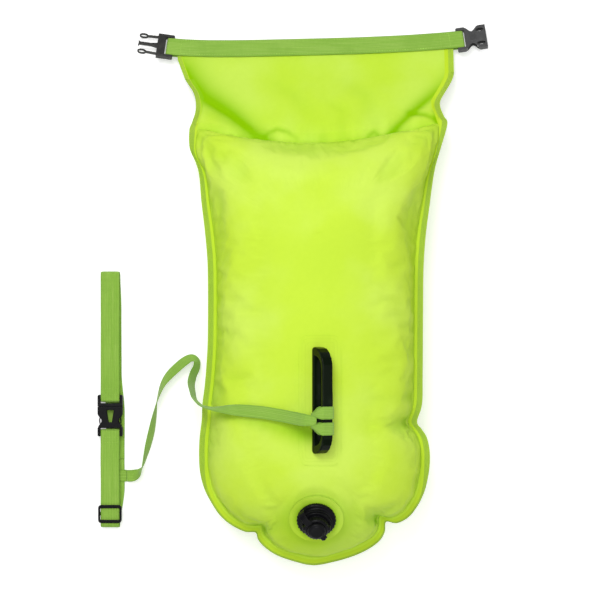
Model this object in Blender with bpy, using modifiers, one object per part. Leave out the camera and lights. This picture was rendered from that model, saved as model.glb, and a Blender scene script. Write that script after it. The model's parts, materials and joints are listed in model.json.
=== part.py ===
# Open water swim buoy: an inflatable dry bag with a roll top, a welded carry handle, a screw-in
# air valve, and a waist belt on a webbing leash. It lies on its back, as on a table.
# Origin: on the table under the bag's back. +X to the right, +Y to the roll top, +Z up.
import math

import bmesh
import bpy
from mathutils import Matrix, Vector
from mathutils.bvhtree import BVHTree

mm = 0.001

# Bag: chamber, welded edge and fabric
chamber_half_width = 138.5 * mm   # from the centre line to the outside of the welded edge
chamber_length = 566 * mm         # from the top seam's corners to the lowest lobe
chamber_top = 222 * mm            # where the chamber begins, above the origin
seam_height = 77 * mm             # the welded edge over the table, at mid length
front_rise = 88 * mm              # how far the front wall stands over the welded edge
back_press = 22 * mm              # how far the table pushes the round back flat
back_round = 10 * mm              # the soft turn from the flat back to the sides
rim_width = 11 * mm
rim_thickness = 2.4 * mm
fabric = 0.8 * mm
gap = 0.3 * mm                    # clearance between touching pieces
dry_gap = 0.7 * mm                # the dry pocket, pressed flat between its two walls
spine_top_share = 0.2597          # the crown runs between these two shares of the length
spine_low_share = 0.7456

# Roll top: neck, flap and hem, in a plane that climbs from the table to the top seam
hem_edge_height = 7.8 * mm        # the hem's free edge over the table
corner_height = 54.4 * mm         # the top seam's corners over the table
corner_above = 2.6 * mm           # and above the chamber's top
hem_turn = math.radians(1.4)
hem_half_width = 182.5 * mm
hem_width = 25 * mm               # also the width of all the wide webbing
flap_length = 30 * mm
neck_length = 75 * mm             # from the flap's fold to the top seam's corners
seam_dip = 22 * mm                # the top seam's middle lies this much further down
neck_bulge = 7 * mm
sheet = 0.6 * mm
stiffener_thickness = 1.0 * mm
stiffener_inset = 22.5 * mm       # the stiffener ends this far inside the hem's edge
hem_axis_lift = 3.2 * mm          # the hem's fold axis over the middle of the sheets
flap_axis_lift = 9.0 * mm         # the roll is as thick as this lets it be

# Webbing
webbing = 1.4 * mm                # thickness of the wide webbing
bar_radius = 1.5 * mm             # the bars that the webbing turns round
hem_bar_reach = 11.8 * mm         # from the sheets' edge to each hem buckle's bar
hem_rise = 6.2 * mm               # the hem's two ends curve up by this much in its own plane
hem_left_power = 4.6              # the left end curves up late, the right one gently
hem_right_power = 2.6
hem_tip_lift = math.radians(6)    # the buckles' tips rise a little off the table

# Side release buckles
buckle_half_width = 16.5 * mm
buckle_thickness = 8.4 * mm
rail_inside = 12.9 * mm           # half the clear width for the webbing
slot_far = 4.8 * mm               # from the bar's middle to the far side of the slot
horn_reach = 6.5 * mm
hem_male_front = 15.5 * mm        # from the bar to the front of the block
belt_male_front = 8.7 * mm
arm_length = 25 * mm
arm_width = 1.9 * mm
arm_thickness = 4.8 * mm
arm_root = 12.6 * mm              # the arms' middle line from the buckle's, at the block
arm_tip = 11.7 * mm
eye_half_length = 6.0 * mm        # the open loop at the end of each arm
eye_half_width = 3.1 * mm
eye_wall = 1.2 * mm
prong_root = 7 * mm
prong_width = 3.4 * mm
prong_head = 8.4 * mm
female_length = 33 * mm           # from the bar to the mouth
female_waist = 8.7 * mm
belt_waist = 11 * mm              # the waist buckle's is wider
waist_share = 0.42                # of the length from the bar, where the waist is narrowest
shoulder_share = 0.72             # where the waist has opened to the full width
window_near_share = 0.36          # the waist buckle's window, between two shares of the length
window_far_share = 0.86
window_near_half = 2.4 * mm
window_far_half = 5.0 * mm
eye_window_share = 0.76           # the hem buckle's two round windows
eye_window_out_share = 0.60
eye_window_long_share = 0.17
eye_window_wide_share = 0.15
mouth_half_width = 14.8 * mm
mouth_height = 5.6 * mm
female_floor = 6.6 * mm           # where the mouth's hollow ends, from the bar
plate_edge = 0.6 * mm             # small rounding of moulded edges

# Belt, laid flat as a hank beside the bag
belt_x = -272 * mm
belt_sway = 6 * mm                # the lower run lies this far to the right of the upper
belt_sway_high = 1.8 * mm         # and this far above the buckle
belt_sway_turn = -95 * mm         # where it starts to lie further out
belt_low = 2.4 * mm               # middle of the lower run over the table
belt_high = 10.7 * mm             # middle of the upper run over the table
belt_top = 37.3 * mm
belt_bottom = -301.5 * mm
belt_male_bar = -132.4 * mm
belt_split = -212 * mm            # where the two lengths of webbing part
belt_tail = 18 * mm               # the stitched end under the upper run
slider_along = -283.7 * mm
slider_half_length = 12 * mm
slider_half_width = 15.6 * mm
slider_bar = 4.3 * mm
slider_bar_thickness = 2.0 * mm
slider_corner = 4 * mm
slider_window_corner = 1.5 * mm

# Carry handle and its welded patch
handle_x = 1.9 * mm
handle_patch_lap = 4.6 * mm       # the handle's patch reaches this far into the valve seat's blend
handle_half_length = 66 * mm
handle_base_width = 14 * mm
handle_base_thickness = 2.6 * mm
handle_height = 30 * mm
handle_grip_width = 13.6 * mm
handle_grip_thickness = 6.2 * mm
handle_lean = math.radians(24)
handle_foot = 25.4 * mm           # how far each end of the bow curves in
handle_leg = 10.5 * mm            # the bow's length along the base strip at each end
handle_toe = 4 * mm               # the upright part of each end
handle_hole_lift = 1.0 * mm       # the finger gap starts this far over the base strip
handle_rounding = 1.6 * mm
handle_base_corner = 4 * mm
handle_sink = 1.2 * mm            # the arch melts this deep into the base strip
patch_half_width = 27 * mm
patch_shift = 2.7 * mm            # the patch's middle lies to the right of the handle's
patch_half_length = 81 * mm
patch_thickness = 0.8 * mm

# Air valve: its own axis is square to the flattened seat in the front wall
valve_x = 0.4 * mm
valve_share = 0.8728              # the valve, as a share of the way down the chamber
valve_tilt = math.radians(27)
valve_sink = 3.0 * mm             # the seat lies this far under the round wall
valve_seat = 3.0 * mm             # from the seat up to the top of the patch
seat_flat_radius = 38 * mm
seat_blend_radius = 72 * mm
wall_hole_radius = 26 * mm
valve_patch_radius = 34 * mm
valve_flange_radius = 31 * mm
valve_flange_thickness = 1.2 * mm
valve_neck_radius = 22 * mm
valve_collar_radius = 24.2 * mm
valve_collar_height = 5 * mm
valve_collar_edge = 1.5 * mm
valve_step_radius = 19 * mm
valve_step_fillet = 2 * mm
valve_base_height = 9 * mm
valve_bore_radius = 13.3 * mm
insert_radius = 13.0 * mm
insert_depth = 7 * mm
insert_bore_radius = 7.6 * mm
insert_edge = 1.0 * mm            # chamfers of the insert
insert_lip = 1.2 * mm
insert_recess = 3 * mm            # the bore is this much wider below the grid
collar_radius = 18.4 * mm
collar_thickness = 2.2 * mm
knob_radius = 14.6 * mm
knob_top = 24 * mm
knob_edge = 1.5 * mm
knob_foot = 2 * mm                # the knob's concave foot
wing_reach = 17.4 * mm
wing_width = 5.5 * mm
gasket_inside = 13.7 * mm
gasket_outside = 16.2 * mm
gasket_thickness = 1.5 * mm
tether_ring_inside = 16.6 * mm
tether_ring_outside = 20 * mm
tether_thickness = 1.6 * mm
tether_reach = 29 * mm
tether_width = 8.5 * mm
tether_lap = 1.5 * mm             # the strap starts this far inside its ring
tether_angle = math.radians(131)
cap_radius = 11 * mm
cap_thickness = 5.4 * mm
cap_edge = 1.1 * mm
cap_hinge_share = 1.45            # the cap's strap bends at this many cap radii
plug_radius = 7.1 * mm
plug_depth = 3.2 * mm
tab_reach = 16.5 * mm
tab_width = 7 * mm
tab_thickness = 2 * mm
tab_lap = 2 * mm
tab_corner = 2.4 * mm
flap_disc_radius = 11 * mm
flap_disc_thickness = 0.8 * mm
flap_disc_taper = 2 * mm
stem_radius = 1.5 * mm
stem_head = 1.6 * mm              # the barb on the stem's end
stem_barb = 0.7 * mm
flap_travel = 1.5 * mm
grid_bar = 1.8 * mm
boss_radius = 3.2 * mm

# Leash
leash_width = 15.5 * mm
leash_thickness = 1.3 * mm
hitch_wall = 1.2 * mm
hitch_place = -23.5 * mm          # middle of the hitch, from the handle's middle
hitch_parting = 3.6 * mm
hitch_corner = 2.6 * mm
leash_loop_along = -234 * mm
leash_loop_half_width = 13.4 * mm

# The leash's middle line: a share of the way from the hitch to the belt's loop, how far the line
# lies in millimetres from the straight way at that share, and the strap's roll in degrees.
leash_route = (
    (0.000, 1.6, 0.0, 0.0, 0), (0.000, -5.8, 0.3, 0.1, 0), (0.001, -15.2, 1.4, -4.8, 1),
    (0.032, -17.0, 5.3, -8.4, 2), (0.063, -19.8, 9.6, -11.5, 4), (0.094, -23.6, 13.9, -12.5, 6),
    (0.128, -28.6, 18.7, -12.1, 9), (0.167, -35.3, 23.6, -9.8, 16), (0.204, -41.5, 27.8, -8.9, 28),
    (0.239, -46.3, 31.6, -9.0, 48), (0.273, -50.3, 34.8, -10.9, 70), (0.310, -52.0, 38.6, -16.3, 84),
    (0.352, -51.4, 44.7, -24.2, 90), (0.401, -47.4, 55.4, -33.8, 84), (0.457, -37.6, 70.8, -46.0, 70),
    (0.506, -26.7, 85.1, -56.5, 58), (0.546, -15.6, 99.0, -63.3, 52), (0.579, -2.9, 112.9, -67.0, 56),
    (0.602, 3.7, 124.4, -66.5, 62), (0.620, 1.5, 130.5, -64.2, 64), (0.643, -1.4, 127.5, -60.4, 62),
    (0.678, -3.7, 119.5, -53.8, 62), (0.711, -4.9, 111.4, -47.4, 68), (0.747, -3.9, 100.0, -40.1, 80),
    (0.793, 2.2, 84.0, -31.1, 90), (0.840, 10.7, 67.1, -22.1, 106), (0.887, 19.1, 50.2, -13.2, 118),
    (0.930, 26.0, 34.9, -5.0, 116), (0.966, 31.5, 22.0, 1.8, 104), (0.995, 35.7, 12.1, 6.4, 90),
    (1.000, 31.5, 4.0, 5.4, 52), (1.000, 24.0, 0.5, 2.8, 16), (1.000, 15.8, 0.0, 1.9, 0),
)

# Shares along the chamber's outline: how far out over its half width, how far down its length.
right_side_shares = (
    (1.175, 0.044), (1.126, 0.083), (1.097, 0.118), (1.065, 0.173), (1.025, 0.247),
    (1.004, 0.320), (1.0, 0.400), (0.998, 0.480), (0.996, 0.560), (0.990, 0.629),
)
right_lobe_shares = (
    (0.944, 0.668), (0.985, 0.685), (1.032, 0.703), (1.058, 0.728), (1.065, 0.757),
    (1.052, 0.790), (1.018, 0.827), (0.955, 0.861), (0.870, 0.888), (0.760, 0.902),
)
low_lobe_shares = (
    (0.660, 0.899), (0.648, 0.922), (0.600, 0.943), (0.500, 0.962), (0.350, 0.979),
    (0.170, 0.992), (-0.020, 1.0), (-0.200, 0.991), (-0.360, 0.977), (-0.470, 0.959),
    (-0.535, 0.941),
)
left_side_shares = (
    (-0.561, 0.924), (-0.660, 0.922), (-0.790, 0.906), (-0.888, 0.885), (-0.965, 0.857),
    (-1.035, 0.823), (-1.075, 0.785), (-1.084, 0.745), (-1.078, 0.705), (-1.058, 0.665),
    (-1.052, 0.629), (-1.027, 0.580), (-1.004, 0.500), (-1.0, 0.430), (-1.0, 0.360),
    (-1.006, 0.300), (-1.030, 0.235), (-1.065, 0.165), (-1.085, 0.110), (-1.120, 0.078),
    (-1.178, 0.044),
)
# The welded edge's height along the chamber, as shares of its height at mid length.
seam_height_shares = (
    (0.0, 0.70), (0.044, 0.76), (0.118, 0.87), (0.21, 0.95), (0.32, 0.99), (0.5, 1.0),
    (0.67, 0.99), (0.75, 0.96), (0.85, 0.90), (0.92, 0.84), (1.0, 0.78),
)
# The neck's sides, from the flap's fold to the seam's corner: share of the way, of half width.
neck_right_shares = (
    (0.0, 0.995), (0.09, 0.986), (0.24, 0.956), (0.39, 0.919), (0.55, 0.884), (0.69, 0.884),
    (0.85, 0.905), (1.0, 0.925),
)
neck_left_shares = (
    (0.0, 0.945), (0.09, 0.925), (0.24, 0.890), (0.39, 0.872), (0.55, 0.868), (0.69, 0.876),
    (0.85, 0.896), (1.0, 0.915),
)
# Stations along the hem, as shares of the way from its middle to each bar.
hem_station_shares = (
    -0.965, -0.939, -0.88, -0.823, -0.72, -0.58, -0.40, -0.20, 0.0, 0.20, 0.40, 0.58, 0.72,
    0.823, 0.88, 0.939, 0.965,
)
seam_curve_share = 1.7
corner_easing = 30
front_rings = 9
back_rings = 6
top_angle = math.radians(83)


# Sizes that follow from the others

spine_top = chamber_top - spine_top_share * chamber_length
spine_low = chamber_top - spine_low_share * chamber_length
valve_along = chamber_top - valve_share * chamber_length
handle_along = valve_along + seat_blend_radius - handle_patch_lap + patch_half_length
roll_top_length = hem_width + flap_length + neck_length
neck_slope = math.asin((corner_height - hem_edge_height) / roll_top_length)
hem_edge_along = chamber_top + corner_above + roll_top_length * math.cos(neck_slope)
stiffener_half_width = hem_half_width - stiffener_inset
hem_bar_place = hem_half_width + hem_bar_reach


# The scene, collections and materials

for old in list(bpy.data.objects):
    bpy.data.objects.remove(old, do_unlink=True)

buoy = bpy.data.collections.new("open_water_swim_buoy")
guides = bpy.data.collections.new("cutters_and_guides")
bpy.context.scene.collection.children.link(buoy)
bpy.context.scene.collection.children.link(guides)


def make_material(name, colour, roughness):
    finish = bpy.data.materials.new(name)
    finish.use_nodes = True
    shader = finish.node_tree.nodes["Principled BSDF"]
    shader.inputs["Base Color"].default_value = (*colour, 1)
    shader.inputs["Roughness"].default_value = roughness
    shader.inputs["Metallic"].default_value = 0
    return finish


lime = (0.62, 0.88, 0.08)
olive = (0.30, 0.50, 0.06)
strap_green = (0.26, 0.48, 0.06)
dark = (0.02, 0.02, 0.02)
grey = (0.06, 0.06, 0.06)
clear = (0.55, 0.58, 0.55)


def link(thing, parent=None):
    buoy.objects.link(thing)
    if parent:
        thing.parent = parent
    return thing


def frame_at(name, place, turn=None, parent=None):
    """An empty that carries the pieces of one moving body or one local frame."""
    empty = bpy.data.objects.new(name, None)
    empty.empty_display_size = hem_width
    empty.matrix_local = Matrix.Translation(place) @ (turn or Matrix.Identity(4))
    guides.objects.link(empty)
    empty.parent = parent
    return empty


def named(mesh_object, name, colour, roughness=0.5):
    mesh_object.name = name
    mesh_object.data.name = name
    mesh_object.data.materials.clear()
    mesh_object.data.materials.append(make_material(name, colour, roughness))
    return mesh_object


def object_of(bm, name, parent=None):
    mesh = bpy.data.meshes.new(name)
    bm.to_mesh(mesh)
    bm.free()
    return link(bpy.data.objects.new(name, mesh), parent)


def follow(table, share):
    """Reads a table of (place, value) pairs along straight lines between its places."""
    for (low, before), (high, after) in zip(table, table[1:]):
        if share <= high:
            return before + (after - before) * max(0, share - low) / (high - low)
    return table[-1][1]


def soft_step(value):
    value = min(1, max(0, value))
    return value * value * (3 - 2 * value)


def smooth_line(points, steps):
    """Points of a smooth curve through the given ones, with so many steps between each two."""
    line = []
    ends = [points[0], *points, points[-1]]
    for a, b, c, d in zip(ends, ends[1:], ends[2:], ends[3:]):
        for step in range(steps):
            t = step / steps
            line.append(
                0.5 * (2 * b + (c - a) * t + (2 * a - 5 * b + 4 * c - d) * t * t
                       + (3 * b - a - 3 * c + d) * t * t * t)
            )
    return line + [points[-1]]


def arc(centre, radius, start, end, steps):
    """Places on an arc in a plane, from one angle in degrees to another."""
    angles = [math.radians(start + (end - start) * k / steps) for k in range(steps + 1)]
    return [(centre[0] + radius * math.cos(a), centre[1] + radius * math.sin(a)) for a in angles]


# Shape helpers

def plate(name, outline, thickness, holes=(), edge=0, parent=None, place=(0, 0, 0)):
    """A flat piece: a filled 2D curve with its thickness, made a mesh so that it can be joined."""
    curve = bpy.data.curves.new(name, "CURVE")
    curve.dimensions = "2D"
    curve.fill_mode = "BOTH"
    curve.extrude = thickness / 2
    for ring in (outline, *holes):
        spline = curve.splines.new("POLY")
        spline.points.add(len(ring) - 1)
        spline.use_cyclic_u = True
        for point, (x, y) in zip(spline.points, ring):
            point.co = (x, y, 0, 1)
    guide = bpy.data.objects.new(name, curve)
    guides.objects.link(guide)
    depsgraph = bpy.context.evaluated_depsgraph_get()
    mesh = bpy.data.meshes.new_from_object(guide.evaluated_get(depsgraph))
    bpy.data.objects.remove(guide, do_unlink=True)
    weld(mesh)
    made = link(bpy.data.objects.new(name, mesh), parent)
    made.location = place
    if edge:
        bevel(made, edge)
    return made


def weld(mesh):
    bm = bmesh.new()
    bm.from_mesh(mesh)
    bmesh.ops.remove_doubles(bm, verts=bm.verts, dist=gap / 30)
    bmesh.ops.recalc_face_normals(bm, faces=bm.faces)
    bm.to_mesh(mesh)
    bm.free()


def bevel(made, width, segments=1):
    edge = made.modifiers.new("edge", "BEVEL")
    edge.width = width
    edge.segments = segments
    edge.limit_method = "ANGLE"
    edge.angle_limit = math.radians(50)
    return edge


def settle(made):
    """Applies an object's modifiers to its mesh."""
    depsgraph = bpy.context.evaluated_depsgraph_get()
    mesh = bpy.data.meshes.new_from_object(made.evaluated_get(depsgraph))
    made.modifiers.clear()
    made.data = mesh
    return made


def combine(target, other, operation):
    """Joins or cuts with an exact Boolean, and removes the other piece."""
    cut = target.modifiers.new(operation.lower(), "BOOLEAN")
    cut.operation = operation
    cut.object = other
    cut.solver = "EXACT"
    bpy.context.view_layer.update()
    settle(target)
    bpy.data.objects.remove(other, do_unlink=True)
    return target


def fuse(target, *others):
    for other in others:
        combine(target, other, "UNION")
    return target


def cut_away(target, *others):
    for other in others:
        combine(target, other, "DIFFERENCE")
    return target


def turned(name, profile, segments, parent=None):
    """A round piece: a profile that runs down its outer side, turned with a Screw modifier."""
    bm = bmesh.new()
    verts = [bm.verts.new((r, 0, z)) for r, z in profile]
    for a, b in zip(verts, verts[1:]):
        bm.edges.new((a, b))
    if profile[0][0] > 0:
        bm.edges.new((verts[-1], verts[0]))
    made = object_of(bm, name, parent)
    screw = made.modifiers.new("turn", "SCREW")
    screw.steps = segments
    screw.render_steps = segments
    screw.use_merge_vertices = True
    screw.merge_threshold = 0.1 * gap
    screw.use_smooth_shade = True
    return made


def cylinder(name, radius, depth, segments, matrix, parent=None):
    bm = bmesh.new()
    bmesh.ops.create_cone(bm, cap_ends=True, segments=segments, radius1=radius,
                          radius2=radius, depth=depth, matrix=matrix)
    return object_of(bm, name, parent)


def box(name, low, high, parent=None):
    size = Vector(high) - Vector(low)
    middle = (Vector(high) + Vector(low)) / 2
    bm = bmesh.new()
    bmesh.ops.create_cube(bm, size=1, matrix=Matrix.Translation(middle) @ Matrix.Diagonal((*size, 1)))
    return object_of(bm, name, parent)


def strap(name, path, width, thickness, closed=False, parent=None, shift=None):
    """Webbing: its edge line is extruded across its width along X and given its thickness."""
    bm = bmesh.new()
    verts = [bm.verts.new((x - width / 2, y, z)) for x, y, z in path]
    edges = [bm.edges.new(pair) for pair in zip(verts, verts[1:])]
    if closed:
        edges.append(bm.edges.new((verts[-1], verts[0])))
    grown = bmesh.ops.extrude_edge_only(bm, edges=edges)["geom"]
    across = [v for v in grown if isinstance(v, bmesh.types.BMVert)]
    bmesh.ops.translate(bm, verts=across, vec=(width, 0, 0))
    for vert in bm.verts:
        if shift:
            vert.co = shift(vert.co)
    made = object_of(bm, name, parent)
    wall = made.modifiers.new("thickness", "SOLIDIFY")
    wall.thickness = thickness
    wall.offset = 0
    return made


def ellipse(x, y, half_x, half_y, count):
    angles = [2 * math.pi * k / count for k in range(count)]
    return [(x + half_x * math.cos(a), y + half_y * math.sin(a)) for a in angles]


def rounded(half_x, half_y, radius, steps, middle=(0, 0)):
    """A rectangle with round corners."""
    x, y = half_x - radius, half_y - radius
    corners = ((x, y, 0), (-x, y, 90), (-x, -y, 180), (x, -y, 270))
    return [
        (middle[0] + px, middle[1] + py)
        for cx, cy, start in corners
        for px, py in arc((cx, cy), radius, start, start + 90, steps)
    ]


# Local frame of the roll top: x along the hem, y up the slope to its free edge, z off its front

neck_matrix = (
    Matrix.Translation((0, hem_edge_along, hem_edge_height))
    @ Matrix.Rotation(hem_turn, 4, "Z")
    @ Matrix.Rotation(-neck_slope, 4, "X")
)
flap_fold = hem_width + flap_length
seam_corner = flap_fold + neck_length


def neck_place(x, down, out=0):
    return neck_matrix @ Vector((x, -down, out))


def neck_edge(table, down):
    return hem_half_width * follow(table, (down - flap_fold) / neck_length)


def seam_line(x):
    """How far down the slope the top seam lies at a place across the neck."""
    side = neck_right_shares if x > 0 else neck_left_shares
    reach = hem_half_width * side[-1][1] - rim_width
    return seam_corner + seam_dip * (1 - min(1, abs(x) / reach) ** seam_curve_share)


# Outline of the welded edge, from the flap's fold on the right, round the foot, to the left

def chamber_points(table):
    made = []
    for out, down in table:
        height = seam_height * follow(seam_height_shares, down)
        made.append(Vector((chamber_half_width * out, chamber_top - chamber_length * down, height)))
    return made


def spine_near(point):
    return Vector((0, min(spine_top, max(spine_low, point.y)), 0))


def inward(point, distance):
    """A place moved level towards the chamber's crown line."""
    way = spine_near(point) - Vector((point.x, point.y, 0))
    return point + way.normalized() * distance


neck_right = [
    neck_place(hem_half_width * out, flap_fold + gap + (neck_length - gap) * way)
    for way, out in neck_right_shares
]
neck_left = [
    neck_place(-hem_half_width * out, flap_fold + gap + (neck_length - gap) * way)
    for way, out in neck_left_shares
]
neck_right_inner = [
    neck_place(hem_half_width * out - rim_width, flap_fold + gap + (neck_length - gap) * way)
    for way, out in neck_right_shares
]
neck_left_inner = [
    neck_place(rim_width - hem_half_width * out, flap_fold + gap + (neck_length - gap) * way)
    for way, out in neck_left_shares
]
body_outer = chamber_points(
    right_side_shares + right_lobe_shares + low_lobe_shares + left_side_shares
)
body_inner = [inward(point, rim_width) for point in body_outer]
rim_outer = neck_right + body_outer + neck_left[::-1]
rim_inner = neck_right_inner + body_inner + neck_left_inner[::-1]

seam_ends = (neck_left_inner[-1], neck_right_inner[-1])
seam_span = [neck_matrix.inverted() @ end for end in seam_ends]
seam_steps = 12
top_seam = []
for step in range(1, seam_steps):
    across = seam_span[0].x + (seam_span[1].x - seam_span[0].x) * step / seam_steps
    top_seam.append(neck_place(across, seam_line(across)))
chamber_ring = [seam_ends[0], *top_seam, seam_ends[1], *body_inner]


def rounded_ring(ring):
    """The same closed line with its corners and lobes eased away, place for place."""
    for turn in range(corner_easing):
        ring = [
            (before + 2 * here + after) / 4
            for before, here, after in zip(ring[-1:] + ring[:-1], ring, ring[1:] + ring[:1])
        ]
    return ring


eased_ring = rounded_ring(chamber_ring)


def ring_rows(rings, inset):
    """Level rings from the welded edge up to the crown line, each rounder than the last."""
    rows = []
    for ring in range(rings + 1):
        angle = top_angle * ring / rings
        ease = 1 - math.cos(angle)
        row = []
        for point, eased in zip(chamber_ring, eased_ring):
            middle = spine_near(point)
            start = inward(point, inset)
            x = start.x + (eased.x - start.x) * ease
            y = start.y + (eased.y - start.y) * ease
            x = middle.x + (x - middle.x) * math.cos(angle)
            y = middle.y + (y - middle.y) * math.cos(angle)
            row.append((x, y, point.z, angle))
        rows.append(row)
    return rows


def crown_surface(x, y, seam, angle):
    """The front wall as the air would round it, without the valve's seat."""
    rise = math.sin(angle)
    return seam + gap + (seam_height - seam) * rise * rise + front_rise * rise


def tree_of(rows, height_at):
    """A search tree of a wall made of rings, to find its height anywhere."""
    places = [(x, y, height_at(x, y, seam, angle)) for row in rows for x, y, seam, angle in row]
    count = len(chamber_ring)
    faces = []
    for ring in range(len(rows) - 1):
        low, high = ring * count, (ring + 1) * count
        for k in range(count):
            after = (k + 1) % count
            faces.append((low + k, low + after, high + after))
            faces.append((low + k, high + after, high + k))
    faces.append(tuple(range((len(rows) - 1) * count, len(rows) * count)))
    return BVHTree.FromPolygons(places, faces)


def height_in(tree, x, y):
    return tree.ray_cast(Vector((x, y, 2 * front_rise + seam_height)), Vector((0, 0, -1)))[0].z


front_rows = ring_rows(front_rings, gap)
seat_height = height_in(tree_of(front_rows, crown_surface), valve_x, valve_along) - valve_sink


def front_surface(x, y, seam, angle):
    """The front wall, with the flat place for the valve pressed into it."""
    height = crown_surface(x, y, seam, angle)
    away = math.hypot(x - valve_x, y - valve_along)
    hold = 1 - soft_step((away - seat_flat_radius) / (seat_blend_radius - seat_flat_radius))
    flat = seat_height + (y - valve_along) * math.tan(valve_tilt)
    return height - max(0, height - flat) * hold


def back_surface(x, y, seam, angle):
    """The round back, with the part that the table presses flat."""
    height = seam - gap - (seam + back_press) * math.sin(angle)
    if height >= back_round:
        return height
    if height <= -back_round:
        return 0
    return (height + back_round) ** 2 / (4 * back_round)


def middle_surface(x, y, seam, angle):
    return back_surface(x, y, seam, angle) + (fabric + dry_gap) * math.sin(angle)


front_tree = tree_of(front_rows, front_surface)


def front_height(x, y):
    return height_in(front_tree, x, y)


# Chamber walls: rings lofted from the welded edge to the crown, then given the fabric's wall

def wall_of_rings(name, table, height_at, upward):
    bm = bmesh.new()
    rows = [
        [bm.verts.new((x, y, height_at(x, y, seam, angle))) for x, y, seam, angle in row]
        for row in table
    ]
    count = len(chamber_ring)
    for lower, upper in zip(rows, rows[1:]):
        for k in range(count):
            after = (k + 1) % count
            bm.faces.new((lower[k], lower[after], upper[after]))
            bm.faces.new((lower[k], upper[after], upper[k]))
    bm.faces.new(rows[-1])
    bmesh.ops.recalc_face_normals(bm, faces=bm.faces)
    top = max(bm.faces, key=lambda face: len(face.verts))
    if (top.normal.z > 0) != upward:
        bmesh.ops.reverse_faces(bm, faces=bm.faces)
    bmesh.ops.triangulate(bm, faces=[top])
    for face in bm.faces:
        face.smooth = True
    made = object_of(bm, name)
    wall = made.modifiers.new("fabric", "SOLIDIFY")
    wall.thickness = fabric
    wall.offset = -1
    return made


def valve_matrix():
    place = Vector((valve_x, valve_along, seat_height))
    turn = Matrix.Rotation(valve_tilt, 4, "X")
    return Matrix.Translation(place) @ turn @ Matrix.Translation((0, 0, valve_seat))


def make_chamber():
    front = wall_of_rings("front_panel", front_rows, front_surface, True)
    settle(front)
    bore = valve_matrix() @ Matrix.Translation((0, 0, -valve_seat))
    hole = cylinder("valve_hole", wall_hole_radius, 4 * valve_seat + 4 * fabric, 40, bore)
    cut_away(front, hole)
    named(front, "front_panel", lime, 0.35)
    inner = ring_rows(back_rings, gap + 2 * (fabric + dry_gap))
    named(wall_of_rings("middle_panel", inner, middle_surface, False), "middle_panel", lime, 0.4)
    outer = ring_rows(back_rings, gap)
    named(wall_of_rings("back_panel", outer, back_surface, False), "back_panel", lime, 0.35)


def make_rim():
    """The welded edge: a flat band lofted along the outline, open at the roll top."""
    bm = bmesh.new()
    rows = []
    half = Vector((0, 0, rim_thickness / 2))
    for outer, inner in zip(rim_outer, rim_inner):
        rows.append([bm.verts.new(place) for place in (outer - half, outer + half,
                                                       inner + half, inner - half)])
    for row, after in zip(rows, rows[1:]):
        for k in range(4):
            other = (k + 1) % 4
            bm.faces.new((row[k], row[other], after[other], after[k]))
    bm.faces.new(rows[0])
    bm.faces.new(rows[-1])
    bmesh.ops.recalc_face_normals(bm, faces=bm.faces)
    named(object_of(bm, "edge_rim"), "edge_rim", olive, 0.5)


# Neck, flap and hem

def bulge(across, down, low):
    """How far the neck's sheet swells between its two fold valleys."""
    start = flap_fold + flap_length + 3 * rim_thickness
    way = (down - start) / (low - start)
    if way <= 0:
        return 0
    width = math.cos(min(1, abs(across) / (0.5 * hem_half_width)) * math.pi)
    return neck_bulge * math.sin(math.pi * min(1, way)) ** 2 * (0.5 + 0.5 * width)


def make_neck_sheet(name, side):
    columns = 18
    lines = len(neck_right_shares) - 1
    seam_left = gap + rim_width - hem_half_width * neck_left_shares[-1][1]
    seam_right = hem_half_width * neck_right_shares[-1][1] - rim_width - gap
    bm = bmesh.new()
    grid = []
    for column in range(columns + 1):
        share = column / columns
        row = []
        for (way, out_right), (way, out_left) in zip(neck_right_shares, neck_left_shares):
            left = gap + rim_width - hem_half_width * out_left
            right = hem_half_width * out_right - rim_width - gap
            across = left + (right - left) * share
            low = seam_line(seam_left + (seam_right - seam_left) * share) - gap
            start = flap_fold + gap
            down = start + (low - start) * way
            out = side * (gap + sheet) / 2 + gap / 2 * side + side * bulge(across, down, low)
            row.append(bm.verts.new((across, -down, out)))
        grid.append(row)
    for row, after in zip(grid, grid[1:]):
        for k in range(lines):
            bm.faces.new((row[k], row[k + 1], after[k + 1], after[k]))
    made = object_of(bm, name, neck_frame)
    wall = made.modifiers.new("fabric", "SOLIDIFY")
    wall.thickness = sheet
    wall.offset = 0
    named(made, name, lime, 0.4)


neck_frame = frame_at("neck_frame", (0, 0, 0), neck_matrix)
flap_axis = frame_at("roll_flap_axis", (0, -flap_fold, flap_axis_lift), parent=neck_frame)
hem_axis = frame_at("hem_axis", (0, flap_length, hem_axis_lift - flap_axis_lift), parent=flap_axis)
fold_right = neck_edge(neck_right_shares, flap_fold)
fold_left = -neck_edge(neck_left_shares, flap_fold)


def hem_curve(x):
    """How far the hem's middle line has curved up at a place along it, and its slope there."""
    power = hem_left_power if x < 0 else hem_right_power
    straight = hem_bar_place - horn_reach
    held = min(abs(x), straight)
    share = held / hem_bar_place
    slope = power * hem_rise / hem_bar_place * share ** (power - 1)
    rise = hem_rise * share ** power + slope * (abs(x) - held)
    return rise, slope if x >= 0 else -slope


def hem_place(x, up):
    """A place on the curved hem, from its straight length and its height over the fold line."""
    rise, slope = hem_curve(x)
    turn = math.atan(slope)
    off = up - hem_width / 2
    return x - off * math.sin(turn), hem_width / 2 + rise + off * math.cos(turn)


hem_stations = [hem_bar_place * share for share in hem_station_shares]


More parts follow.
